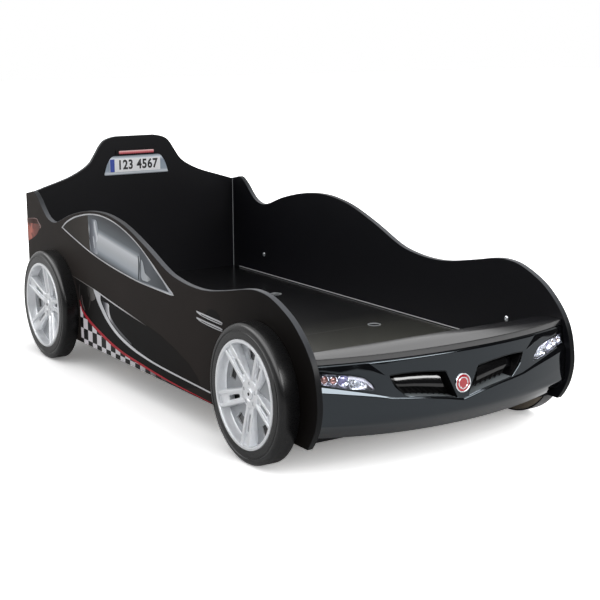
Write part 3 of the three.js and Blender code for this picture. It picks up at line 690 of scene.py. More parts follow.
@cache
def glass_print():
    # The printed side window: grey glass with a pale band that falls a little towards the nose,
    # as of a bright wall seen in glass.
    made, tree = start_finish("glass_print", "#9aa1a8", 0.25, Specular_IOR_Level=0.1)
    inputs = {"Vector": OWN_PLACE, "Rotation": (math.radians(-7.4), 0, 0)}
    fall = add_node(tree, "ShaderNodeMapping", inputs)
    low, high = 0.3845, 0.5345  # of the band, on the turned upright axis
    stops = ((0.03, "#4c5055"), (0.12, "#7d858d"), (0.22, "#a6acb4"), (0.38, "#b5b9be"),
        (0.56, "#cbcfd4"), (0.64, "#8b9299"), (0.72, "#5d6369"), (1.0, "#3a3d42"))
    colours = stops_along(tree, "Z", low, high, stops, fall.outputs["Vector"])
    feed(tree, "Base Color", colours)
    vary(tree, mottle(tree, 50), roughness=(0.2, 0.3))
    return made


@cache
def checker_print(square, first_s, first_z):
    # Chequered ink: white and black squares that grow dark towards the nose.
    made, tree = start_finish("checker_print", "#e8e6e8", 0.4, Specular_IOR_Level=0.1)
    inputs = {"Vector": OWN_PLACE, "Location": (0.01, first_s * MM - TAIL, -first_z * MM)}
    shift = add_node(tree, "ShaderNodeMapping", inputs)
    inputs = {0: shift.outputs["Vector"], 1: (0.0001, 1.0, 1.0)}
    spread = add_node(tree, "ShaderNodeVectorMath", inputs, operation="MULTIPLY")
    stops = ((0, "#d9d4da"), (0.3, "#dcdade"), (0.62, "#c4c2c6"), (0.8, "#4a4849"),
        (1.0, "#1c1917"))
    fade = stops_along(tree, "Y", TAIL - 484 * MM, TAIL - 1290 * MM, stops)
    checks = add_node(tree, "ShaderNodeTexChecker",
        {"Vector": spread.outputs["Vector"], "Color1": fade, "Color2": srgb("#0d0c0d"),
        "Scale": per_metre(square)})
    feed(tree, "Base Color", checks.outputs["Color"])
    vary(tree, mottle(tree, 2), roughness=(0.34, 0.46), bump=(0.08, 0.05))
    return made


@cache
def tail_lamp_print():
    # Printed tail lamp: salmon to deep red in soft pools, as of bulbs behind ribbed glass.
    made, tree = start_finish("tail_lamp_print", "#a83a28", 0.25, Specular_IOR_Level=0.1)
    stops = ((0, "#8a4f46"), (0.16, "#b4604f"), (0.3, "#bd6656"), (0.5, "#7b3427"), (1, "#4c2820"))
    glow = stops_along(tree, "Y", TAIL, TAIL - 142 * MM, stops)
    inputs = {"Value": mottle(tree, 30, 1.0), "From Min": 0.34, "From Max": 0.5}
    pools = add_node(tree, "ShaderNodeMapRange", inputs)
    inputs = {0: pools.outputs["Result"], 6: srgb("#5f2a20"), 7: glow}
    mixed = add_node(tree, "ShaderNodeMix", inputs, data_type="RGBA")
    feed(tree, "Base Color", mixed.outputs[2])
    return made


@cache
def planed_pine():
    # Planed Scots pine: warm yellow with darker rings that run along the timber.
    made, tree = start_finish("planed_pine", "#cfa66c", 0.6)
    inputs = {"Vector": OWN_PLACE, "Scale": (0.06, 1.0, 1.0)}
    stretch = add_node(tree, "ShaderNodeMapping", inputs)
    inputs = {"Vector": stretch.outputs["Vector"], "Scale": 22.0, "Distortion": 9.0, "Detail": 3.0}
    rings = add_node(tree, "ShaderNodeTexWave", inputs, wave_type="RINGS")
    colours = (srgb("#dcb881"), srgb("#bb8a50"))
    vary(tree, rings.outputs["Fac"], colours, (0.55, 0.68), (0.15, 0.3))
    return made


@cache
def brake_red():
    # Moulded red acrylic over prisms: the ribs behind it show as a fine lengthwise ripple.
    made, tree = start_finish("brake_red", "#c8525a", 0.2)
    # The red grows paler to near white towards the top: a painted highlight.
    stops = ((0, "#a53e48"), (0.35, "#cf6068"), (0.7, "#ee9a9e"), (1, "#fbd6d6"))
    feed(tree, "Base Color", stops_along(tree, "Z", *heights("brake_lamp_lens"), stops))
    inputs = {"Vector": OWN_PLACE, "Scale": per_metre(5) / 6.28}
    ribs = add_node(tree, "ShaderNodeTexWave", inputs, bands_direction="X")
    vary(tree, ribs.outputs["Fac"], roughness=(0.15, 0.28), bump=(0.2, 0.3))
    return made


# ---- Side panels
BODY_LINE = ((45, 611), (85, 616), (130, 591), (171, 556), (210, 530), (262, 518), (320, 527),
    (420, 560), (532, 586), (621, 599), (712, 604), (800, 599), (912, 579), (1060, 531),
    (1204, 475), (1290, 456), (1390, 448), (1489, 453), (1621, 476), (1710, 494), (1777, 500),
    (1850, 490), (1939, 453), (1998, 410), (2043, 360), (2070, 304), (2082, 228), (2073, 170),
    (2053, 128))
PANEL_TAIL_HEIGHT = 603
NOSE_UNDERSIDE = 2030  # where the nose meets the straight lower edge


def banded(piece, axis, front, back):
    """Foil on the two broad faces of a board and edge banding on the rest."""

    def choose(face):
        if abs(face.normal[axis]) < 0.95:
            return 2
        return 0 if face.normal[axis] < 0 else 1

    return paint(piece, front, back, finish("edge_band"), choose=choose)


class BED_OT_side_panels(Operator):
    """Cuts both side panels and bands their edges"""

    bl_idname = "bed.side_panels"
    bl_label = "Side panels"

    def execute(self, context):
        line = [(0, PANEL_TAIL_HEIGHT), *BODY_LINE, (NOSE_UNDERSIDE, BOARD_UNDERSIDE)]
        outline = [(0, BOARD_UNDERSIDE), *smooth(line)]
        left = slab("panel_left", on_side(-HALF_INNER, outline), (-BOARD * MM, 0, 0))
        ease_edges(left, context.scene.bed_sizes.board_edge)
        right = mirrored(left, "panel_right")
        banded(left, 0, printed_foil(), finish("melamine_foil"))
        banded(right, 0, finish("melamine_foil"), printed_foil())
        for side, piece in (("left", left), ("right", right)):
            shade(piece)
            settle(piece, "black_board", f"side_panel_{side}")
        return {"FINISHED"}


# ---- The print on the side panels, as outlines of (s, z)
WINDOW_TOP = ((363, 510), (400, 531), (450, 550), (500, 564), (600, 583), (700, 590), (800, 583),
    (900, 562), (1000, 529), (1100, 480), (1200, 425), (1250, 400))
WINDOW_LOW = ((1250, 400), (1100, 403), (1000, 406), (900, 414), (800, 424), (700, 437), (600, 454),
    (500, 476), (400, 500), (363, 510))
TAIL_LAMP = ((1, 412), (20, 418), (90, 445), (142, 486), (118, 500), (95, 512), (1, 501))
VENT = ((1462, 345), (1462, 372), (1474, 390), (1500, 399), (1530, 398), (1552, 386), (1560, 370),
    (1552, 350), (1520, 338), (1485, 336))
VENT_STRIP = ((1407, 375, 4), (1436, 371, 9), (1490, 368, 11), (1545, 366, 11), (1568, 365, 7))
VENT_PITCH = 20
# The silver sweep along the sill, as its outer and inner edge from its broad upper end.
SWEEP_OUTER = ((623, 317.7), (641, 295), (662, 272), (690, 249), (718, 228), (753, 208.5),
    (789, 192.6), (824, 180.3), (859, 171), (894, 163.5), (947, 154.5), (1000, 148.5),
    (1143, 138.5), (1486, 130.5))
SWEEP_INNER = ((686, 305.4), (683, 293), (690, 279), (711, 259.6), (732, 242), (760, 222.6),
    (789, 208.5), (824, 194.4), (859, 183.8), (912, 172), (965, 162.5), (1000, 157.5), (1143, 145),
    (1486, 135.5))
HOOK_OUTER = ((697, 280.7), (718, 261.3), (739, 243.7), (764, 226), (789, 213.8), (824, 199),
    (859, 187.3), (930, 172))
HOOK_INNER = ((697, 287.8), (718, 285.5), (753, 284), (754.5, 266.6), (759, 249), (771, 236.7),
    (789, 226), (824, 210), (859, 198), (930, 177))
BODY_CREASE = ((430, 338, 2), (623, 317.5, 3.5), (771, 296.6, 5), (965, 272, 3.5), (1050, 262, 1.5))
SILL_STRIPE = ((497, 256, 2), (509, 233, 7), (520, 220, 10), (560, 199.5, 12.5), (612, 181.5, 12.5),
    (683, 162.5, 12), (753, 146, 11.5), (824, 134, 10), (894, 126, 9), (1000, 118.6, 8),
    (1100, 112, 7), (1200, 107, 5), (1300, 104, 4), (1490, 101, 2))
SILL_TOP = ((455, 334), (640, 316), (800, 296), (970, 271), (1090, 259), (1150, 250), (1250, 226),
    (1350, 194), (1400, 165), (1428, 134))
CHECKER_SQUARE = 39.2
CHECKER_START = (523, 115)  # (s, z) where four squares meet
CHECKER_END = 1290
LAYERS = {"ground": 1, "picture": 2, "line": 3, "glint": 4}


def stroke(line):
    """The outline of a line of (s, z, width)."""
    fine = smooth(line, 5)
    upper, lower = [], []
    for k, point in enumerate(fine):
        way = (fine[min(k + 1, len(fine) - 1)] - fine[max(k - 1, 0)]).to_2d().normalized()
        side = Vector((-way.y, way.x)) * point.z / 2
        upper.append(point.to_2d() + side)
        lower.append(point.to_2d() - side)
    return [*lower, *reversed(upper)]


def film(name, outline, layer, ink):
    """A layer of print on the outside of both panels."""
    depth = LAYERS[layer] * bpy.context.scene.bed_sizes.film
    left = slab(f"{name}_left", on_side(-HALF_OUTER, outline), (-depth, 0, 0))
    shade(paint(left, ink))
    right = mirrored(left, f"{name}_right")
    for piece in (left, right):
        settle(piece, "black_board")


class BED_OT_side_print(Operator):
    """Lays the printed window, lamp, vents, chequers and lines on both side panels"""

    bl_idname = "bed.side_print"
    bl_label = "Side print"

    def execute(self, context):
        window = [*smooth(WINDOW_TOP, 5)[:-1], *smooth(WINDOW_LOW, 5)[:-1]][::-1]
        film("window_line", grown(window, 4.5), "ground", finish("silver_print"))
        film("window_glass", window, "picture", glass_print())

        quarter = [p for p in smooth(WINDOW_LOW, 5) if p[0] < 602][::-1]
        quarter += [(s, height_at(line, s)) for line,
            s in ((WINDOW_LOW[::-1], 612), (WINDOW_TOP, 600))]
        quarter += [p for p in smooth(WINDOW_TOP, 5) if p[0] < 600][::-1][:-1]
        stops = ((0, "#2a2725"), (0.6, "#34302d"), (1, "#3f3b38"))
        film("quarter_window", grown(quarter, -1), "line",
            fading_print("quarter_print", 363, 612, *stops))
        stops = ((0, "#45474c"), (0.35, "#6b6f77"), (0.7, "#a5a9b1"), (1, "#8d949c"))
        pale = fading_print("pillar_print", 604, 692, *stops)
        pillar = ((616, 572), (606, 500), (622, 457), (662, 449), (678, 452), (664, 490),
            (688, 530), (676, 574))
        film("rear_pillar", eased(pillar, 14), "line", pale)
        gloss = fading_print("pillar_gloss_print", 604, 700, (0, "#b9bdc4"), (1, "#dfe2e6"))
        for k, line in enumerate((((655, 566, 10), (662, 540, 16), (674, 512, 13), (668, 494, 5)),
            ((641, 512, 4), (646, 496, 9), (650, 470, 3)))):
            film(f"pillar_gloss_{k + 1}", stroke(line), "glint", gloss)
        dark = fading_print("divider_print", 990, 1060, (0, "#3b3e42"), (1, "#54585d"))
        film("window_divider", stroke(((1004, 492, 5), (1009, 462, 11), (1003, 411, 8))), "line",
            dark)
        stops = ((0, "#5a5e63"), (0.3, "#62666b"), (0.6, "#54585c"), (1, "#3d3f43"))
        front = fading_print("front_pane_print", 1016, 1250, *stops)
        low_line = [(1225, 404), (1150, 405), (1060, 408), (1016, 409)]
        top_line = [(1016, 520), (1060, 497), (1120, 466), (1180, 434)]
        film("front_pane", [*low_line, *top_line][::-1], "line", front)
        stops = ((0, "#a9aeb4"), (0.6, "#b4b8bc"), (1, "#75797d"))
        lit = fading_print("front_gloss_print", 1020, 1098, *stops)
        gleam = ((1022, 424), (1026, 484), (1038, 476), (1052, 440), (1098, 426), (1070, 414),
            (1030, 414))
        film("front_gloss", eased(gleam[::-1], 6), "glint", lit)

        shadow = fading_print("vent_shadow_print", 1400, 1570, (0, "#141212"), (1, "#0c0b0b"))
        film("vent_dark", eased(VENT, 14), "ground", shadow)
        for k in range(2):
            strip = [(s, z - k * VENT_PITCH, width) for s, z, width in VENT_STRIP]
            film(f"vent_strip_{k + 1}", stroke(strip), "line", finish("silver_print"))
            core = [(s, z - 1, width * 0.22) for s, z, width in strip[1:]]
            film(f"vent_core_{k + 1}", stroke(core), "glint", shadow)

        film("tail_lamp", TAIL_LAMP, "picture", tail_lamp_print())
        stops = ((0, "#5e4a47"), (0.5, "#3b2420"), (1, "#54403c"))
        shade_of_lamp = fading_print("lamp_shade_print", 0, 142, *stops)
        film("tail_lamp_shade", ((1, 501), (95, 512), (130, 494), (96, 492), (60, 489),
            (1, 486))[::-1], "line", shade_of_lamp)
        rim = fading_print("lamp_rim_print", 0, 142, (0, "#7a6461"), (1, "#a48c8a"))
        film("tail_lamp_rim", stroke(((1, 502, 2), (94, 512, 3), (118, 501, 4), (141, 487, 5),
            (134, 479, 2))), "glint", rim)

        deep = fading_print("sill_print", 450, 1440, (0, "#100e0e"), (0.6, "#111010"),
            (1, "#151211"))
        low_edge = [(s, z) for s, z, _ in SILL_STRIPE if s < 1440]
        film("sill_ground", [*low_edge, *reversed(SILL_TOP)], "ground", deep)
        core = fading_print("sweep_print", 623, 1486, (0, "#c6c7cc"), (0.2, "#dcdde0"),
            (1, "#c9cacd"))
        film("sweep", [*smooth(SWEEP_OUTER, 4), *reversed(smooth(SWEEP_INNER, 4))], "picture", core)
        stops = ((0, "#26262a"), (0.1, "#55555b"), (0.2, "#b9b9be"), (0.25, "#e4e4e7"),
            (0.3, "#9b9b9f"), (0.4, "#6d6d70"), (1, "#58595b"))
        hook = fading_print("hook_print", 697, 930, *stops)
        film("hook", [*smooth(HOOK_OUTER, 4), *reversed(smooth(HOOK_INNER, 4))], "line", hook)
        gleam = fading_print("flank_print", 566, 640, (0, "#1b1918"), (1, "#6a6766"))
        flank = ((568, 318), (574, 286), (604, 268), (640, 284), (630, 310), (610, 317))
        film("flank_gleam", eased(flank, 10), "picture", gleam)
        gleam = fading_print("tick_print", 500, 560, (0, "#857778"), (1, "#857778"))
        film("stripe_tick", stroke(((515, 276, 1.5), (523, 246, 3), (541, 224, 1.5))), "line",
            gleam)
        gleam = fading_print("intake_print", 490, 600, (0, "#3f3c3b"), (1, "#393635"))
        intake = (((503, 316, 2), (497, 285, 5), (506, 252, 4), (530, 226, 2)),
            ((574, 312, 2), (590, 286, 7), (588, 258, 6), (574, 232, 2)))
        for k, line in enumerate(intake):
            film(f"intake_gleam_{k + 1}", stroke(line), "picture", gleam)
        stops = ((0, "#4c4a48"), (0.3, "#7d7b7a"), (0.33, "#d0d1d4"), (0.7, "#c4c5c7"),
            (0.86, "#8a8989"), (1, "#2f2b29"))
        crease = fading_print("crease_print", 430, 1050, *stops)
        film("body_crease", stroke(BODY_CREASE), "line", crease)

        top = [(s, z) for s, z in ((p[0], p[1]) for p in smooth(SILL_STRIPE, 4)) if s < CHECKER_END]
        start = CHECKER_START[0] - 24
        edge = [(start, 248), *((s, z) for s, z in top if s > start)]
        checks = [(start, BOARD_UNDERSIDE + 1), (CHECKER_END, BOARD_UNDERSIDE + 1), *edge[::-1]]
        film("chequers", checks, "picture", checker_print(CHECKER_SQUARE, *CHECKER_START))
        film("sill_stripe", stroke(SILL_STRIPE), "line", finish("stripe_red"))
        return {"FINISHED"}


# ---- Headboard
CREST_SWEEP = ((400, 187), (300, 156), (240, 128), (205, 103), (180, 68), (160, 37), (140, 16),
    (112, 5), (85, 0))
HEADBOARD_SHOULDER = 604


class BED_OT_headboard(Operator):
    """Cuts the headboard and bands its edges"""

    bl_idname = "bed.headboard"
    bl_label = "Headboard"

    def execute(self, context):
        sweep = [(HALF_INNER, HEADBOARD_SHOULDER), *((x, CREST - drop) for x, drop in CREST_SWEEP)]
        half = smooth(sweep)
        outline = [(-HALF_INNER, BOARD_UNDERSIDE), (HALF_INNER, BOARD_UNDERSIDE), *half,
            *((-x, z) for x, z in reversed(half))]
        start = s_range("headboard")[0]
        board = slab("head_panel", across(start, outline), (0, -BOARD * MM, 0))
        ease_edges(board, context.scene.bed_sizes.board_edge)
        banded(board, 1, finish("melamine_foil"), finish("melamine_foil"))
        settle(shade(board), "black_board", "headboard")
        return {"FINISHED"}


def box_outline(node):
    """The corners of (x, z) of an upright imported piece, anticlockwise."""
    low, high = (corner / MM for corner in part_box(node))
    return rectangle(low.x, low.z, high.x, high.z)


def upright(name, outline, node, skin, edge=0.4, slot="silver"):
    """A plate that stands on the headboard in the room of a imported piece."""
    start, end = s_range(node)
    piece = slab(name, across(start, outline), (0, (start - end) * MM, 0))
    ease_edges(piece, edge * MM)
    return complete(piece, skin, slot, node)


PLATE_SHIFT = 6  # by which the plate sits to the left of its surround's middle
BAND_WIDTH = 21  # from the plate's left edge to the inner edge of its blue band


class BED_OT_plate(Operator):
    """Makes the plate with its surround and plain digits, and the brake lamp above it"""

    bl_idname = "bed.plate"
    bl_label = "Plate and brake lamp"

    def execute(self, context):
        low, high = (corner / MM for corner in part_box("plate_surround"))
        belly, lean = 15, 37  # by which its ends slope in, halfway up and at the top
        bend = low.z + 0.62 * (high.z - low.z)
        corners = ((low.x, low.z), (high.x, low.z), (high.x - belly, bend), (high.x - lean, high.z),
            (low.x + lean, high.z), (low.x + belly, bend))
        outline = eased(corners, (7, 7, 20, 14, 14, 20))
        upright("plate_frame", outline, "plate_surround", finish("surround_print"), 0.9)
        plate = [(x - PLATE_SHIFT, z) for x, z in eased(box_outline("number_plate"), 3)]
        upright("plate_face", plate, "number_plate", finish("plate_film"), 0.3, "plate_white")

        face = s_range("number_plate")[1]
        left, right = (corner.x / MM - PLATE_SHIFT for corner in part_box("number_plate"))
        bottom, top = (corner.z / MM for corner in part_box("number_plate"))
        band = rectangle(left + 1, bottom + 1, left + BAND_WIDTH, top - 1)
        flag = slab("plate_band", across(face, eased(band, 1.5)), (0, -0.2 * MM, 0))
        settle(paint(flag, finish("plate_blue")), "plate_white")

        start_new()
        bpy.ops.object.text_add()
        looks = {"body": "123 4567", "align_x": "CENTER", "align_y": "CENTER", "size": 0.052,
            "extrude": 0.00015, "space_character": 1.1, "offset": 0.0017, "resolution_u": 4}
        for key, value in looks.items():
            setattr(bpy.context.object.data, key, value)
        bpy.ops.object.convert(target="MESH")
        digits = fresh("plate_digits")
        middle = (bottom + top) / 2
        stand = Matrix.Translation(at((left + BAND_WIDTH + right) / 2, face + 0.15, middle))
        narrow = Matrix.Diagonal((0.84, 1, 1, 1))
        moved(digits, stand @ Matrix.Rotation(math.pi / 2, 4, "X") @ narrow)
        settle(paint(outwards(digits), finish("plate_ink")), "plate_white")

        housing = eased(box_outline("brake_lamp_housing"), 7)
        case = upright("brake_lamp_case", housing, "brake_lamp_housing", finish("dark_plastic"),
            1.5, "dark_plastic")
        lens = box_outline("brake_lamp_lens")
        well = across(s_range("brake_lamp_housing")[1] - 3, grown(lens, CLEARANCE))
        cut(case, slab("lens_well", well, (0, -20 * MM, 0)))
        upright("brake_lamp_bar", eased(lens, 3), "brake_lamp_lens", brake_red(), 1.5, "lamp_red")
        return {"FINISHED"}


# ---- Front shelf and bumper
SHELF_END_DEPTH = 68
SHELF_BOW = 68
BOW_POWER = 2.1
BUMPER_WALL = 4


def bow(x):
    """How far the front is bowed at x: 1 at mid-width and 0 at the side panels."""
    return 1 - min(1, abs(x) / HALF_INNER) ** BOW_POWER


def across_width(half, count):
    return [half * (2 * k / count - 1) for k in range(count + 1)]


class BED_OT_front_shelf(Operator):
    """Cuts the bowed shelf over the bumper"""

    bl_idname = "bed.front_shelf"
    bl_label = "Front shelf"

    def execute(self, context):
        edge = [(x, FOOT_FACE + SHELF_END_DEPTH + SHELF_BOW * bow(x))
            for x in across_width(HALF_INNER, 72)]
        outline = [(HALF_INNER, FOOT_FACE), (-HALF_INNER, FOOT_FACE), *edge]
        shelf = slab("shelf", level(SHELF_TOP, outline), (0, 0, -BOARD * MM))
        ease_edges(shelf, context.scene.bed_sizes.board_edge * 1.6, 3)
        complete(shelf, finish("shelf_foil"), "black_board", "front_shelf")
        return {"FINISHED"}


SHOULDER_LINE = ((0, 146), (20, 142.5), (60, 134), (140, 121), (193, 115.5), (240, 110), (290, 99),
    (333, 91), (400, 79.5), (455, 71))
STEP_HEIGHT = 3
STEP_END_HEIGHT = 15
STEP_END_START = 230
# The brow over each lamp: the lines of (x, z) along its crease and its lower edge, and how far
# that edge stands proud.
BROW_TOP = ((0, 291.5), (258, 291.5), (305, 329), (455, 329))
BROW_LOW = ((0, 290), (258, 290), (300, 308), (340, 318), (387, 312), (430, 320), (455, 322))
BROW_PROUD = ((0, 0), (258, 0), (300, 2), (340, 2.6), (420, 1.8), (455, 0.8))
BROW_LIP = 2
# Rows of the bumper's front from the top down, each as its drop below the shelf and its reach
# ahead of the foot board, at the ends and at mid-width, and how far its corner is eased.
UPPER_ROWS = (((0, 64), (0, 132), 0), ((5, 70), (5, 138), 3))
STEP_SLOPE = 0.62
STEP_REACH = (88, 151)
LOWER_ROWS = (((119, 89), (166, 153), (4, 14)), ((167, 88), (178, 150), (2, 14)),
    ((196, 60), (196, 137), (3, 16)), ((212, 40), (227, 106), (0, 0)))


@cache
def bumper_front(x):
    """The front of the bumper's section at x, as (reach, z) from the top down."""

    def between(ends, middle):
        return ends + (middle - ends) * bow(x)

    corners, easing = [], []
    for (drop_0, reach_0), (drop_1, reach_1), reach in UPPER_ROWS:
        corners.append((between(reach_0, reach_1), SHELF_UNDERSIDE - between(drop_0, drop_1)))
        easing.append(reach)
    shoulder = SHELF_UNDERSIDE - height_at(SHOULDER_LINE, abs(x))
    outward = max(0, (abs(x) - STEP_END_START) / (HALF_INNER - STEP_END_START))
    step = STEP_HEIGHT + (STEP_END_HEIGHT - STEP_HEIGHT) * outward
    ledge = between(*STEP_REACH) - max(3, STEP_SLOPE * step)
    crease, brow = height_at(BROW_TOP, abs(x)), height_at(BROW_LOW, abs(x))
    top_reach, top = corners[-1]
    for z, proud, reach in ((crease, 0, 0.5), (brow, 1, 0.8), (brow - BROW_LIP, 0, 0.5)):
        share = (top - z) / (top - shoulder)
        base = top_reach + (ledge - top_reach) * share
        corners.append((base + proud * height_at(BROW_PROUD, abs(x)), min(z, top - 0.4)))
        easing.append(reach)
    corners += [(ledge, shoulder + step), (between(*STEP_REACH), shoulder)]
    easing += [0.8, 2.5]
    for (drop_0, reach_0), (drop_1, reach_1), reach in LOWER_ROWS:
        corners.append((between(reach_0, reach_1), SHELF_UNDERSIDE - between(drop_0, drop_1)))
        easing.append(between(*reach))
    fine = []
    turned = eased(corners, easing, 5, closed=False)
    joints = 6
    for k, (start, end) in enumerate(zip(turned, turned[1:])):
        parts = 4 if k % joints == 0 else 1
        fine += [start.lerp(end, part / parts) for part in range(parts)]
    return [*fine, turned[-1]]


def bumper_reach(x, z):
    """How far the bumper's surface stands ahead of the foot board's inner face at (x, z)."""
    front = bumper_front(round(x, 3))
    for (r0, z0), (r1, z1) in zip(front, front[1:]):
        if z >= z1:
            return r0 if z0 == z1 else r0 + (r1 - r0) * (z - z0) / (z1 - z0)
    return front[-1][0]


def on_bumper(x, z, depth):
    """The corner that lies a depth behind the bumper's surface at (x, z)."""
    return at(x, FOOT_FACE + bumper_reach(x, z) - depth, z)


def hung(points):
    """Points of (x, drop below the shelf) as (x, z)."""
    return [(x, SHELF_UNDERSIDE - drop) for x, drop in points]


def left_of(points):
    """Points of (distance in from the left panel, drop) as (x, z)."""
    return hung([(inset - HALF_INNER, drop) for inset, drop in points])


# Lines along the left-hand openings, from the inner end outwards for the lamp and from mid-width
# outwards for the grille.
LAMP_LOW = left_of(((166, 81), (121, 77), (82, 70), (55, 64), (12, 53)))
LAMP_HIGH = left_of(((160, 66), (135, 43), (95, 33), (50, 26), (12, 22)))
GRILLE_LOW = hung([(-x, d) for x, d in ((17, 139), (60, 129.5), (120, 120), (166, 114),
    (194, 111))])
GRILLE_END = hung([(-230, 80), (-247, 45)])
GRILLE_HIGH = hung([(-x, d) for x, d in ((59, 55), (117, 48), (164, 44), (205, 43), (247, 45))])
LAMP_OUTLINE = [*LAMP_LOW, *reversed(LAMP_HIGH)]
GRILLE_OUTLINE = [*GRILLE_LOW, GRILLE_END[0], *reversed(GRILLE_HIGH)]
LAMP_DEPTH = 20
GRILLE_DEPTH = 46
LIP_ROOM = 3  # left between a recess's walls and the bumper's surface
BLADE_BELLY = 0.3  # the height at which the blade stands proudest, as a share
BLADE_TOP = hung([(-x, d) for x, d in ((71, 55), (117, 48), (164, 44), (205, 43), (226, 44))])
BLADE_BASE = hung([(-x, d) for x, d in ((60, 104), (110, 96), (154, 90), (200, 86), (222, 84))])


def patch(name, low, high, depth, columns=28, rows=8):
    """A sheet between two lines of (x, z), a depth behind the bumper's surface."""

    def place(u, v):
        point = along(low, u).lerp(along(high, u), v)
        return on_bumper(*point, depth(u, v) if callable(depth) else depth)

    return sheet_of(name, columns, rows, place, Vector((0, -1, 0)))


class BED_OT_bumper(Operator):
    """Forms the bumper, cuts its openings and rolls their lips"""

    bl_idname = "bed.bumper"
    bl_label = "Bumper"

    def execute(self, context):
        half = HALF_INNER - CLEARANCE
        rows = len(bumper_front(0)) - 1

        def place(u, v):
            x = half * (2 * u - 1)
            point = bumper_front(round(x, 3))[round(v * rows)]
            return at(x, FOOT_FACE + point[0], point[1])

        shell = sheet_of("bumper", 150, rows, place, Vector((0, -1, 0)))
        wall(shell, BUMPER_WALL)
        lips = []
        for sign in (1, -1):
            for outline, reach in ((LAMP_OUTLINE, 5), (GRILLE_OUTLINE, 6)):
                rounded = eased([(x * sign, z) for x, z in outline], reach, 4)
                opening = slab("opening", across(FOOT_FACE + 30, rounded), (0, -200 * MM, 0))
                cut(shell, opening)
                path = []
                for start, end in zip(rounded, [*rounded[1:], rounded[0]]):
                    parts = max(1, round((end - start).length / 8))
                    path += [start.lerp(end, k / parts) for k in range(parts)]
                ring = [on_bumper(*point, 1.2) for point in path]
                lips.append(rod("opening_lip", ring, 1.6, closed=True))
        bumper = joined("bumper_skin", [shell, *lips])
        complete(bumper, finish("gloss_abs"), "gloss_black", "bumper_shell", angle=32)
        return {"FINISHED"}


class BED_OT_grilles(Operator):
    """Makes the deep recess, the fins and the bowed blade of each grille"""

    bl_idname = "bed.grilles"
    bl_label = "Grilles"

    def execute(self, context):
        low = [Vector(p) for p in GRILLE_LOW]
        high = [Vector(p) for p in GRILLE_HIGH]
        back = patch("grille_back", low, high, GRILLE_DEPTH, 30, 6)
        walls = copied(back, "grille_walls", Matrix())
        paint(wall(back, 1.5), finish("dark_plastic"))
        drawn_out(walls, GRILLE_DEPTH - LIP_ROOM)
        floor = {face.index for face in walls.data.polygons if abs(face.normal.y) >= 0.5}
        wall(edit_faces(walls, floor, (bpy.ops.mesh.delete, {"type": "FACE"})), 1.5)
        # Faces that look up take the grey ledge_abs, a painted reflection.
        paint(walls, finish("dark_plastic"), finish("ledge_abs"),
            choose=lambda face: int(face.normal.z > 0.9))
        fins = []
        for k in range(1, 9):
            ends = [along(line, k / 9) for line in (low, BLADE_BASE)]
            fins.append(rod("fin", [on_bumper(*point, GRILLE_DEPTH - 8) for point in ends], 1.6))
        for fin in fins:
            paint(fin, finish("dark_plastic"))
        tray = joined("grille_recess_left", [back, walls, *fins])

        def crown(u, v):
            turned_in = 10 + 12 * u + 6 * max(0, (u - 0.8) / 0.2) ** 2
            top = 9 * v + 20 * max(0, v - BLADE_BELLY) ** 2
            return turned_in + top + 2 * max(0, 1 - v / BLADE_BELLY) ** 2

        blade = patch("grille_blade_left", BLADE_BASE, BLADE_TOP, crown, 40, 20)
        wall(blade, 2.5)
        paint(blade, finish("satin_abs"))
        for piece, slot, nodes in ((tray, "dark_plastic", ("grille_left", "grille_right")),
            (blade, "gloss_black", ())):
            twin = mirrored(shade(piece, 35), piece.name.replace("left", "right"))
            settle(piece, slot, *nodes[:1])
            settle(twin, slot, *nodes[1:])
        return {"FINISHED"}


def bowl(name, x, z, radius, depth, glass):
    """A round lamp: a bright bezel, a bowl that narrows inwards and a domed glass."""
    section = [(radius - 1.6, 0), (radius - 0.8, 0.9), (radius, 0), (radius, -9),
        (radius * 0.45, -10), (radius * 0.45, -8.5), (radius - 2.4, -2.5)]
    cup = paint(lathe("cup", section, 40), finish("chrome"))
    dome = [(0, -9), (radius * 0.62, -9), (radius * 0.6, -6), (radius * 0.4, -3.6),
        (radius * 0.2, -2.6), (0, -2.3)]
    lens = paint(lathe("dome", dome, 32), glass)
    # The halo takes the white painted glow.
    ring = [(radius * 0.72, -6.2), (radius * 0.8, -5.4), (radius * 0.88, -6.2), (radius * 0.8, -8)]
    halo = paint(lathe("halo", ring, 40), finish("lamp_white"))
    lamp = joined(name, [cup, lens, halo])
    slope = SHELF_BOW * BOW_POWER * (abs(x) / HALF_INNER) ** (BOW_POWER - 1) / HALF_INNER
    facing = Vector((math.copysign(slope, x), -1, 0)).normalized()
    turn = facing.to_track_quat("Z", "Y").to_matrix().to_4x4()
    return moved(lamp, Matrix.Translation(on_bumper(x, z, depth)) @ turn)


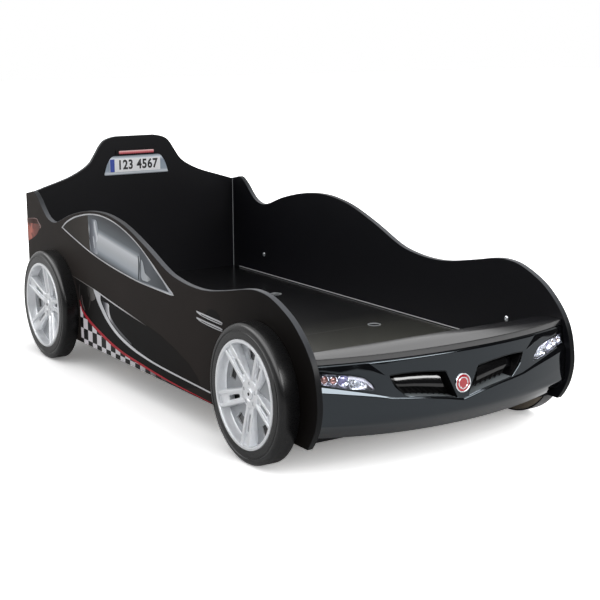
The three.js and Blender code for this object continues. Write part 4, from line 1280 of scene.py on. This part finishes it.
class BED_OT_headlamps(Operator):
    """Makes each headlamp: its tray, reflectors, bright trim and clear lens"""

    bl_idname = "bed.headlamps"
    bl_label = "Headlamps"

    def execute(self, context):
        low = [Vector(p) for p in LAMP_LOW]
        high = [Vector(p) for p in LAMP_HIGH]
        tray = patch("lamp_tray_left", low, high, LAMP_DEPTH, 24, 6)
        wall(drawn_out(tray, LAMP_DEPTH - LIP_ROOM), 1.5)
        paint(tray, finish("lamp_silver"))

        rounds = (("outer", 26, 41, 12, 6, finish("amber_glass")),
            ("second", 51, 45, 12, 7, finish("amber_glass")),
            ("middle", 78, 47, 17, 6, finish("violet_glass")))
        pieces = [bowl(f"lamp_{name}_left", inset - HALF_INNER, SHELF_UNDERSIDE - drop, radius,
            depth, glass) for name, inset, drop, radius, depth, glass in rounds]

        centre = (118 - HALF_INNER, SHELF_UNDERSIDE - 61)
        shape = ((-27, -13), (-6, -16), (20, -15), (25, 4), (22, 16), (0, 17), (-18, 8), (-28, -3))
        shape = [(centre[0] + x * -1, centre[1] + z) for x, z in shape]
        outline = eased(shape[::-1], 5, 4)
        main = slab("main_reflector", [on_bumper(*p, 8) for p in outline], (0, 8 * MM, 0))
        broad = [face for face in main.data.polygons if len(face.vertices) > 8]
        front = min(broad, key=lambda face: face.center.y)
        rim, hollow = {"thickness": 2.2 * MM, "depth": 0}, {"thickness": 5 * MM, "depth": -5 * MM}
        edit_faces(main, {front.index}, (bpy.ops.mesh.inset, rim), (bpy.ops.mesh.inset, hollow))
        ease_edges(main, 0.5 * MM)
        paint(main, finish("chrome"))
        eye = bowl("lamp_eye_left", centre[0] + 2, centre[1], 12, 9, finish("lamp_glass"))
        pieces += [joined("lamp_main_left", [main, eye])]

        swoosh_low = left_of(((163, 79), (153, 71), (141, 58), (120, 49), (94, 45)))
        swoosh_high = left_of(((159, 68), (147, 52), (133, 43), (114, 37), (94, 34)))
        sweep = patch("lamp_swoosh_left", swoosh_low, swoosh_high, 6, 24, 2)
        wall(sweep, 1.5)
        # The swoosh takes the white painted glow.
        pieces.append(paint(sweep, finish("lamp_white")))

        lens = patch("lamp_lens_left", low, high, 0.6, 36, 10)
        wall(lens, 2)
        paint(lens, finish("clear_polycarbonate"))
        for piece, angle, slot in ((tray, 20, "silver"), (lens, 40, "clear")):
            settle(shade(piece, angle), slot, f"head{piece.name}")
            twin = mirrored(piece, piece.name.replace("left", "right"))
            settle(twin, slot, f"head{twin.name}")
        for piece in pieces:
            shade(piece, 35)
            settle(mirrored(piece, piece.name.replace("left", "right")), "silver")
            settle(piece, "silver")
        return {"FINISHED"}


class BED_OT_badge(Operator):
    """Makes the plain round badge on the nose"""

    bl_idname = "bed.badge"
    bl_label = "Nose badge"

    def execute(self, context):
        low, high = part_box("nose_badge")
        middle = (low + high) / 2
        radius = (high.x - low.x) / 2 / MM
        ring = [(radius - 4, 0), (radius, 0), (radius, 2.2), (radius - 1, 3.2), (radius - 3, 3.2),
            (radius - 4, 2.2)]
        trim = paint(lathe("badge_ring", ring, 64), finish("chrome"))
        dome = [(0, 0), (radius - 4, 0), (radius - 4, 1.6), (radius * 0.6, 2.6), (radius * 0.3, 3),
            (0, 3.1)]
        face = paint(lathe("badge_dome", dome, 64), finish("badge_enamel"))
        hoop = [(radius * 0.5, 2.4), (radius * 0.54, 3.3), (radius * 0.6, 3.3),
            (radius * 0.64, 2.4)]
        inner = paint(lathe("badge_hoop", hoop, 64), finish("chrome"))
        badge = joined("badge", [trim, face, inner])
        x, z = middle.x / MM, middle.z / MM
        lean = bumper_reach(x, z - 20) - bumper_reach(x, z + 20)
        facing = Vector((0, -1, -lean / 40)).normalized()
        facing.z = -facing.z
        turn = facing.to_track_quat("Z", "Y").to_matrix().to_4x4()
        moved(badge, Matrix.Translation(on_bumper(x, z, -CLEARANCE)) @ turn)
        settle(shade(badge, 35), "badge_red", "nose_badge")
        return {"FINISHED"}


# ---- Deck
RING_FLANGE = 4.5
GUIDE_HEIGHT = 2.5
GUIDE_SHARE = 0.55  # of the strip's width, next to the panel
BEAD_WIDTH = 2
BEAD_HEIGHT = 380


class BED_OT_deck(Operator):
    """Cuts the three deck boards and moulds their finger rings and guide strips"""

    bl_idname = "bed.deck"
    bl_label = "Deck"

    def execute(self, context):
        rings = {}
        for place in PLACES:
            for side in SIDES:
                low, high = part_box(f"finger_ring_{place}_{side}")
                rings[place, side] = ((low + high) / 2, (high.x - low.x) / 2)
        for place in ("rear", "middle", "front"):
            node = f"deck_board_{place}"
            low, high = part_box(node)
            corners = [(*c, high.z) for c in rectangle(low.x, low.y, high.x, high.y)]
            board = slab(f"deck_{place}", corners, (0, 0, low.z - high.z))
            ease_edges(board, 0.25 * MM)
            for middle, radius in rings.values():
                if low.y - radius < middle.y < high.y + radius:
                    cut(board, cylinder("ring_well", 48, radius + CLEARANCE * MM, 0.06, middle))
            complete(board, deck_foil(), "black_board", node, body=f"deck_{place}")

        middle, radius = rings["rear", "left"]
        reach, top = radius / MM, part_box("finger_ring_rear_left")[1].z / MM
        bore = reach - RING_FLANGE
        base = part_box("finger_ring_rear_left")[0].z / MM
        section = [(bore, base), (reach - 3, base), (reach - 3, top - 1.2), (reach, top - 0.9),
            (reach - 0.5, top - 0.2), (reach - 1.5, top), (reach - 2.6, top - 0.1),
            (bore + 1, top - 3), (bore, top - 5)]
        ring = lathe("ring", section, 48)
        # The bore's inner wall takes dark plastic: painted shade in the hole.
        within = (bore + 0.6) * MM
        paint(ring, finish("grey_plastic"), finish("dark_plastic"),
            choose=lambda face: int(math.hypot(face.center.x, face.center.y) < within))
        shade(ring, 35)
        for (place, side), (middle, _) in rings.items():
            matrix = Matrix.Translation((middle.x, middle.y, 0))
            twin = copied(ring, f"ring_{place}_{side}", matrix)
            body = "deck_rear" if place == "rear" else "deck_middle"
            settle(twin, "grey_plastic", f"finger_ring_{place}_{side}", body=body)
        bpy.data.objects.remove(ring)

        for side, sign in SIDES.items():
            low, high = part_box(f"guide_strip_{side}")
            outer = low.x if sign < 0 else high.x
            inner = outer - sign * (high.x - low.x) * GUIDE_SHARE
            corners = [(*c, high.z) for c in rectangle(outer, low.y, inner, high.y)]
            strip = slab(f"guide_{side}", corners, (0, 0, -GUIDE_HEIGHT * MM))
            ease_edges(strip, 0.6 * MM)
            complete(strip, finish("pale_plastic"), "grey_plastic", f"guide_strip_{side}")

        # A slim bead closes the joint between each side panel and the headboard.
        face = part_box("headboard")[0].y
        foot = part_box("deck_board_rear")[1].z
        for side, sign in SIDES.items():
            wide = sign * (HALF_INNER - BEAD_WIDTH) * MM, sign * HALF_INNER * MM
            corners = [(wide[0], face, foot), (wide[1], face, foot)]
            corners.append((wide[1], face - BEAD_WIDTH * MM, foot))
            bead = slab(f"corner_bead_{side}", corners, (0, 0, BEAD_HEIGHT * MM))
            complete(bead, finish("grey_plastic"), "grey_plastic")
        return {"FINISHED"}


# ---- Wheels, built about the local upright line with their outer face upwards
def wheel_place(place, side):
    """Stands a wheel on the outside of its panel, with its local X towards the nose."""
    low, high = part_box(f"tyre_{place}_{side}")
    middle = (low + high) / 2
    middle.x = SIDES[side] * HALF_OUTER * MM
    face_left = Matrix(((0, 0, -1, 0), (-1, 0, 0, 0), (0, 1, 0, 0), (0, 0, 0, 1)))
    turn = Matrix.Rotation(0 if side == "left" else math.pi, 4, "Z")
    return Matrix.Translation(middle) @ turn @ face_left


def for_each_wheel(piece, name, slot, node, turns=None):
    """Copies a wheel's piece to all four places and discards the pattern."""
    for place in PLACES:
        for side in SIDES:
            matrix = wheel_place(place, side)
            if turns:
                matrix = matrix @ Matrix.Rotation(math.radians(turns[place]), 4, "Z")
            twin = copied(piece, f"{name}_{place}_{side}", matrix)
            settle(twin, slot, f"{node}_{place}_{side}")
    bpy.data.objects.remove(piece)


TYRE_FACE = 59
RIM_RADIUS = 161
RIM_FACE = 62
DISH_BACK = 18.4  # of the closed dish that the tyre's moulding has behind the rim
DISH_FACE = 22.2


class BED_OT_tyres(Operator):
    """Turns the tyre with its grooved side and closed dish"""

    bl_idname = "bed.tyres"
    bl_label = "Tyres"

    def execute(self, context):
        groove = context.scene.bed_sizes.tyre_groove / MM
        shoulder = [(189 + 17 * math.cos(math.radians(a)), 44 + 15 * math.sin(math.radians(a)))
            for a in range(0, 91, 9)]
        section = [(202, 0), (205.2, 0), (206, 0.8), (206, 24), *shoulder, (187.5, TYRE_FACE - 0.4),
            (186.5, TYRE_FACE - groove), (183.5, TYRE_FACE - groove), (182.5, TYRE_FACE - 0.3),
            (180, TYRE_FACE), (170, TYRE_FACE - 0.6), (163.5, TYRE_FACE), (161.8, TYRE_FACE - 0.6),
            (161, TYRE_FACE - 2), (161, DISH_FACE), (0, DISH_FACE), (0, DISH_BACK),
            (202, DISH_BACK)]
        tyre = lathe("tyre", section, 128)
        shade(paint(tyre, finish("tyre_moulding")), 35)
        for_each_wheel(tyre, "wheel_tyre", "tyre_black", "tyre")
        return {"FINISHED"}


SPOKE_PAIRS = 5
PAIR_STEP = 2 * math.pi / SPOKE_PAIRS
SPOKE_TURN = {"front": -18.0, "rear": 7.0}  # degrees from the nose to the first pair
HUB_RADIUS = 44
# Under this height the rim's floor is painted darker, as painted shade.
RIM_FLOOR = 29.5  # height under which its floor is left matt
HUB_FACE = 39
NUT_CIRCLE = 31


def in_wheel(radius, side, height):
    """A corner of the wheel at a radius and sideways place on the local X and Y axes."""
    return Vector((radius * MM, side * MM, height * MM))


def in_wheel_at(height, outline):
    return [in_wheel(*point, height) for point in outline]


class BED_OT_rims(Operator):
    """Builds the rim with its five pairs of spokes, windows, nuts and cap"""

    bl_idname = "bed.rims"
    bl_label = "Rims and caps"

    def execute(self, context):
        edge = context.scene.bed_sizes.spoke_edge
        outer = RIM_RADIUS - CLEARANCE
        dish = [(0, DISH_FACE + 0.3), (148, DISH_FACE + 0.3), (outer, 52), (outer, 59.5),
            (outer - 0.8, 61.2), (outer - 2.4, RIM_FACE), (153, RIM_FACE), (151.4, 61.2),
            (150.6, 59.5), (149.6, 52), (148.6, 36), (146, 30.5), (140, 28), (118, 27), (60, 27.4),
            (46, 29), (0, 29)]
        body = lathe("dish", dish, 160)
        for k in range(SPOKE_PAIRS):
            pair = Matrix.Rotation(k * PAIR_STEP, 4, "Z")
            gap = Matrix.Rotation((k + 0.5) * PAIR_STEP, 4, "Z")
            slot = eased([(60, -6.5), (124, -9), (124, 9), (60, 6.5)], 4, 3)
            window = eased([(98, -14), (129, -20), (129, 20), (98, 14)], 4, 3)
            for shape, turn in ((slot, pair), (window, gap)):
                corners = [turn @ corner for corner in in_wheel_at(10, shape)]
                cut(body, slab("opening", corners, (0, 0, 60 * MM)))

        ridge = [(34, 27), (34, 37.5), (52, 40), (80, 45.5), (115, 51.5), (151, 58), (152.5, 56),
            (149, 27)]
        blade = slab("blade", [in_wheel(r, -5, h) for r, h in ridge], (0, 10 * MM, 0))
        for vertex in blade.data.vertices:
            if vertex.co.z < 28 * MM:
                vertex.co.y *= 1.7
        ease_edges(blade, edge, 3, 25)
        block = [(113, -15), (150, -18), (150, 18), (113, 15)]
        end_block = slab("end_block", in_wheel_at(26, eased(block, 3, 2)), (0, 0, 24 * MM))
        for vertex in end_block.data.vertices:
            if vertex.co.z > 0.04:
                vertex.co.z = (41.5 + 11 * (vertex.co.x / MM - 113) / 37) * MM
        ease_edges(end_block, edge * 0.6, 2, 30)
        web_sides = ((40, -11), (118, -14), (118, 14), (40, 11))
        web = slab("web", in_wheel_at(27, web_sides), (0, 0, 10 * MM))
        for vertex in web.data.vertices:
            if vertex.co.z > 30 * MM:
                vertex.co.z = (33 + 12 * (vertex.co.x / MM - 40) / 78) * MM
        slot = eased([(62, -5.5), (113, -8), (113, 8), (62, 5.5)], 4, 3)
        cut(web, slab("web_slot", in_wheel_at(10, slot), (0, 0, 60 * MM)))
        ease_edges(web, 0.5 * MM, 2, 30)
        hub_section = [(0, 27), (HUB_RADIUS, 27), (HUB_RADIUS, 35), (HUB_RADIUS - 1, 37.4),
            (HUB_RADIUS - 4, HUB_FACE), (22, HUB_FACE), (20, HUB_FACE - 1.5), (0, HUB_FACE - 1.5)]
        hub = lathe("hub", hub_section, 80)
        pieces = [body, hub]
        for k in range(SPOKE_PAIRS):
            turn = Matrix.Rotation(k * PAIR_STEP, 4, "Z")
            for hand in (-1, 1):
                lean = math.atan2(4.5, 110)
                sweep = (turn @ Matrix.Translation(in_wheel(40, hand * 15, 0))
                    @ Matrix.Rotation(hand * lean, 4, "Z")
                    @ Matrix.Translation(in_wheel(-40, 0, 0)))
                pieces.append(copied(blade, "blade_copy", sweep))
            pieces.append(copied(end_block, "block_copy", turn))
            pieces.append(copied(web, "web_copy", turn))
            well = Matrix.Rotation((k + 0.5) * PAIR_STEP, 4, "Z") @ in_wheel(NUT_CIRCLE, 0,
                HUB_FACE)
            cut(hub, cylinder("nut_well", 24, 5.5 * MM, 12 * MM, well))
            well.z = 35 * MM
            pieces.append(ease_edges(cylinder("nut", 6, 4 * MM, 5 * MM, well), 0.4 * MM))
        for used in (blade, end_block, web):
            bpy.data.objects.remove(used)
        rim = joined("rim", pieces)

        # Floor faces deep in the rim take the darker lacquer, painted shade.
        def in_recess_shade(face):
            return int(face.center.z < RIM_FLOOR * MM and face.normal.z > 0.9)

        shade(paint(rim, finish("rim_paint"), finish("rim_recess"), choose=in_recess_shade), 30)
        for_each_wheel(rim, "wheel_rim", "silver", "rim", SPOKE_TURN)

        cap_section = [(0, HUB_FACE - 1.2), (17, HUB_FACE - 1.2), (17, HUB_FACE + 1),
            (16, HUB_FACE + 2.4), (14, HUB_FACE + 2.9), (12.4, HUB_FACE + 2.3), (6, HUB_FACE + 2.8),
            (0, HUB_FACE + 3)]
        cap = lathe("cap", cap_section, 64)
        dot = lathe("dot", [(0, HUB_FACE + 2), (5, HUB_FACE + 2), (5, HUB_FACE + 3.2),
            (0, HUB_FACE + 3.6)], 32)
        cap = joined("cap", [paint(cap, finish("rim_paint")), paint(dot, finish("dark_plastic"))])
        shade(cap, 30)
        for_each_wheel(cap, "hub_cap", "silver", "wheel_cap")
        return {"FINISHED"}


class BED_OT_bolts(Operator):
    """Turns the wheel bolts with their domed, socketed heads"""

    bl_idname = "bed.bolts"
    bl_label = "Wheel bolts"

    def execute(self, context):
        low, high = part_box("wheel_bolt_front_left")
        length = (high.x - low.x) / MM
        head, reach = 4, (high.z - low.z) / 2 / MM
        section = [(0, 0), (3.6, 0), (4, 0.6), (4, length - head), (reach, length - head),
            (reach, length - head + 1.6), (reach * 0.75, length - 0.6), (reach * 0.45, length),
            (0, length)]
        bolt = lathe("bolt", section, 32)
        cut(bolt, cylinder("socket", 6, 2.9 * MM, 5 * MM, (0, 0, length * MM)))
        shade(paint(bolt, finish("zinc_steel")), 35)
        for place in PLACES:
            for side, sign in SIDES.items():
                node = f"wheel_bolt_{place}_{side}"
                low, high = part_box(node)
                middle = (low + high) / 2
                middle.x = low.x if sign < 0 else high.x
                turn = Matrix.Rotation(-sign * math.pi / 2, 4, "Y")
                twin = copied(bolt, f"bolt_{place}_{side}", Matrix.Translation(middle) @ turn)
                settle(twin, "steel", node)
        bpy.data.objects.remove(bolt)
        return {"FINISHED"}


class BED_OT_structure(Operator):
    """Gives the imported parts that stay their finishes"""

    bl_idname = "bed.structure"
    bl_label = "Plain structure"

    def execute(self, context):
        finishes = {"foot_board": finish("melamine_foil"), "cross_bearer": planed_pine(),
            "deck_ledger": planed_pine(), "centre_leg": planed_pine(),
            "bearer_shoe": finish("zinc_steel"), "leg_glide": finish("dark_plastic"),
            "wheel_disc": finish("raw_fibreboard")}
        for node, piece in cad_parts.items():
            for start, skin in finishes.items():
                if node.startswith(start):
                    paint(piece, skin)
        return {"FINISHED"}


class BED_OT_stage(Operator):
    """Sets the plain floor, the soft light and the camera"""

    bl_idname = "bed.stage"
    bl_label = "Stage"

    def execute(self, context):
        settings = context.scene.bed_stage
        floor = primitive("floor", bpy.ops.mesh.primitive_plane_add, size=60, location=(0, 0, 0))
        # Matt white background paper, which the camera sees brighter than the bed does, most of
        # all in front of the nose, where painted light lifts the nose's shadow.
        glow = {"Specular_IOR_Level": 0.0, "Emission_Color": (1, 1, 1, 1)}
        made, tree = start_finish("floor_paper", "#f4f4f4", 0.9, **glow)
        seen = add_node(tree, "ShaderNodeLightPath").outputs["Is Camera Ray"]
        inputs = {0: seen, 6: srgb("#f6f6f6"), 7: (1.6, 1.6, 1.6, 1)}
        tone = add_node(tree, "ShaderNodeMix", inputs, data_type="RGBA")
        feed(tree, "Base Color", tone.outputs[2])
        axes = add_node(tree, "ShaderNodeSeparateXYZ", {"Vector": OWN_PLACE})
        inputs = {"From Min": -0.66, "From Max": -0.88, "To Min": 0.17, "To Max": 0.55}
        inputs["Value"] = axes.outputs["Y"]
        nose_light_lift = add_node(tree, "ShaderNodeMapRange", inputs)
        inputs = {0: seen, 1: nose_light_lift.outputs["Result"]}
        lift = add_node(tree, "ShaderNodeMath", inputs, operation="MULTIPLY")
        feed(tree, "Emission Strength", lift.outputs[0])
        paint(floor, made)

        # What is seen directly is white. What shines in gloss is a studio: white behind the bed,
        # brighter overhead and high up at its left, and dark in front but for one soft box. The
        # rest lights the bed evenly, more from above than from below.
        world = bpy.data.worlds.new("studio")
        context.scene.world = world
        world.use_nodes = True
        tree = world.node_tree
        back = tree.nodes["Background"]
        back.inputs["Color"].default_value = (1, 1, 1, 1)
        rays = add_node(tree, "ShaderNodeLightPath")
        way = add_node(tree, "ShaderNodeTexCoord").outputs["Generated"]
        parts = add_node(tree, "ShaderNodeSeparateXYZ", {"Vector": way})
        # Each panel of light: the axis it lies along, where it starts and is full, and its level.
        panels = {"above": ("Z", 0.72, 0.92, 2.5), "behind": ("Y", -0.15, 0.15, 1.0),
            "beside": ("X", -0.1, -0.35, 7.0), "high": ("Z", 0.35, 0.5, 1.0)}
        lit = {}
        for panel, (axis, start, full, level_of_light) in panels.items():
            inputs = {"Value": parts.outputs[axis], "From Min": start, "From Max": full}
            inputs["To Max"] = level_of_light
            edge = add_node(tree, "ShaderNodeMapRange", inputs, interpolation_type="SMOOTHSTEP")
            lit[panel] = edge.outputs["Result"]
        lit["glossy"], lit["through"] = (rays.outputs[f"Is {k} Ray"]
            for k in ("Glossy", "Transmission"))
        for made, first, second, operation in (("left", "beside", "high", "MULTIPLY"),
            ("sides", "left", "behind", "MAXIMUM"), ("bright", "above", "sides", "MAXIMUM"),
            ("shiny", "glossy", "through", "MAXIMUM")):
            inputs = {0: lit[first], 1: lit[second]}
            lit[made] = add_node(tree, "ShaderNodeMath", inputs, operation=operation).outputs[0]
        inputs = {"Value": lit["bright"], "To Min": 0.05, "To Max": 1.0}
        studio = add_node(tree, "ShaderNodeMapRange", inputs, clamp=False)
        low, high = settings.fill * 0.55, settings.fill * 1.6
        inputs = {"Value": parts.outputs["Z"], "To Min": low, "To Max": high}
        fill = add_node(tree, "ShaderNodeMapRange", inputs)
        inputs = {0: lit["shiny"], 2: fill.outputs["Result"], 3: studio.outputs["Result"]}
        around = add_node(tree, "ShaderNodeMix", inputs)
        inputs = {0: rays.outputs["Is Camera Ray"], 2: around.outputs[0], 3: 1.0}
        strength = add_node(tree, "ShaderNodeMix", inputs)
        tree.links.new(strength.outputs[0], back.inputs["Strength"])

        lamp = bpy.data.lights.new("overhead", "SUN")
        lamp.energy = settings.sun
        lamp.angle = math.radians(50)
        light = bpy.data.objects.new("overhead", lamp)
        light.rotation_euler = (math.radians(30), math.radians(35), 0)
        light.visible_glossy = False
        context.scene.collection.objects.link(light)

        box = bpy.data.lights.new("soft_box", "AREA")
        box.shape = "RECTANGLE"
        box.size, box.size_y = 2.3, 1.0
        box.energy = settings.gloss
        light = bpy.data.objects.new("soft_box", box)
        aim, stand = Vector((-0.3, -1.0, 0.27)), Vector((0.5, -3.1, 1.8))
        turn = (aim - stand).to_track_quat("-Z", "Y").to_matrix().to_4x4()
        light.matrix_world = Matrix.Translation(stand) @ turn
        light.visible_diffuse = False
        light.visible_camera = False
        context.scene.collection.objects.link(light)

        camera = bpy.data.cameras.new("camera")
        camera.lens = 77.33
        camera.sensor_width = 36
        camera.clip_end = 100
        view = bpy.data.objects.new("camera", camera)
        heading, tilt, roll = (math.radians(a) for a in (-32.72, 78.36, -0.33))
        view.matrix_world = (Matrix.Translation((-2.3057, -3.7878, 1.2094))
            @ Matrix.Rotation(heading, 4, "Z") @ Matrix.Rotation(tilt, 4, "X")
            @ Matrix.Rotation(roll, 4, "Z"))
        context.scene.collection.objects.link(view)
        context.scene.camera = view
        context.scene.view_settings.view_transform = "Standard"
        return {"FINISHED"}


STEPS = (BED_OT_structure, BED_OT_side_panels, BED_OT_side_print, BED_OT_headboard, BED_OT_plate,
    BED_OT_front_shelf, BED_OT_bumper, BED_OT_grilles, BED_OT_headlamps, BED_OT_badge, BED_OT_deck,
    BED_OT_tyres, BED_OT_rims, BED_OT_bolts, BED_OT_stage)
SETTINGS = {"bed_sizes": BedSizes, "bed_colours": BedColours, "bed_stage": StageSettings}


class BED_PT_parts(Panel):
    """Lists the bed's sizes, colours and building steps"""

    bl_label = "Sports car bed"
    bl_idname = "BED_PT_parts"
    bl_space_type = "VIEW_3D"
    bl_region_type = "UI"
    bl_category = "Bed"

    def draw(self, context):
        for key, group in SETTINGS.items():
            column = self.layout.column()
            for field in group.__annotations__:
                column.prop(getattr(context.scene, key), field)
        for step in STEPS:
            self.layout.operator(step.bl_idname)


def register():
    for kind in (*SETTINGS.values(), *STEPS, BED_PT_parts):
        bpy.utils.register_class(kind)
    for key, group in SETTINGS.items():
        setattr(bpy.types.Scene, key, PointerProperty(type=group))


def unregister():
    for key in SETTINGS:
        delattr(bpy.types.Scene, key)
    for kind in reversed((*SETTINGS.values(), *STEPS, BED_PT_parts)):
        bpy.utils.unregister_class(kind)


def main():
    register()
    for step in STEPS:
        group, name = step.bl_idname.split(".")
        getattr(getattr(bpy.ops, group), name)()
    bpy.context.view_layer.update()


if __name__ == "__main__":
    main()
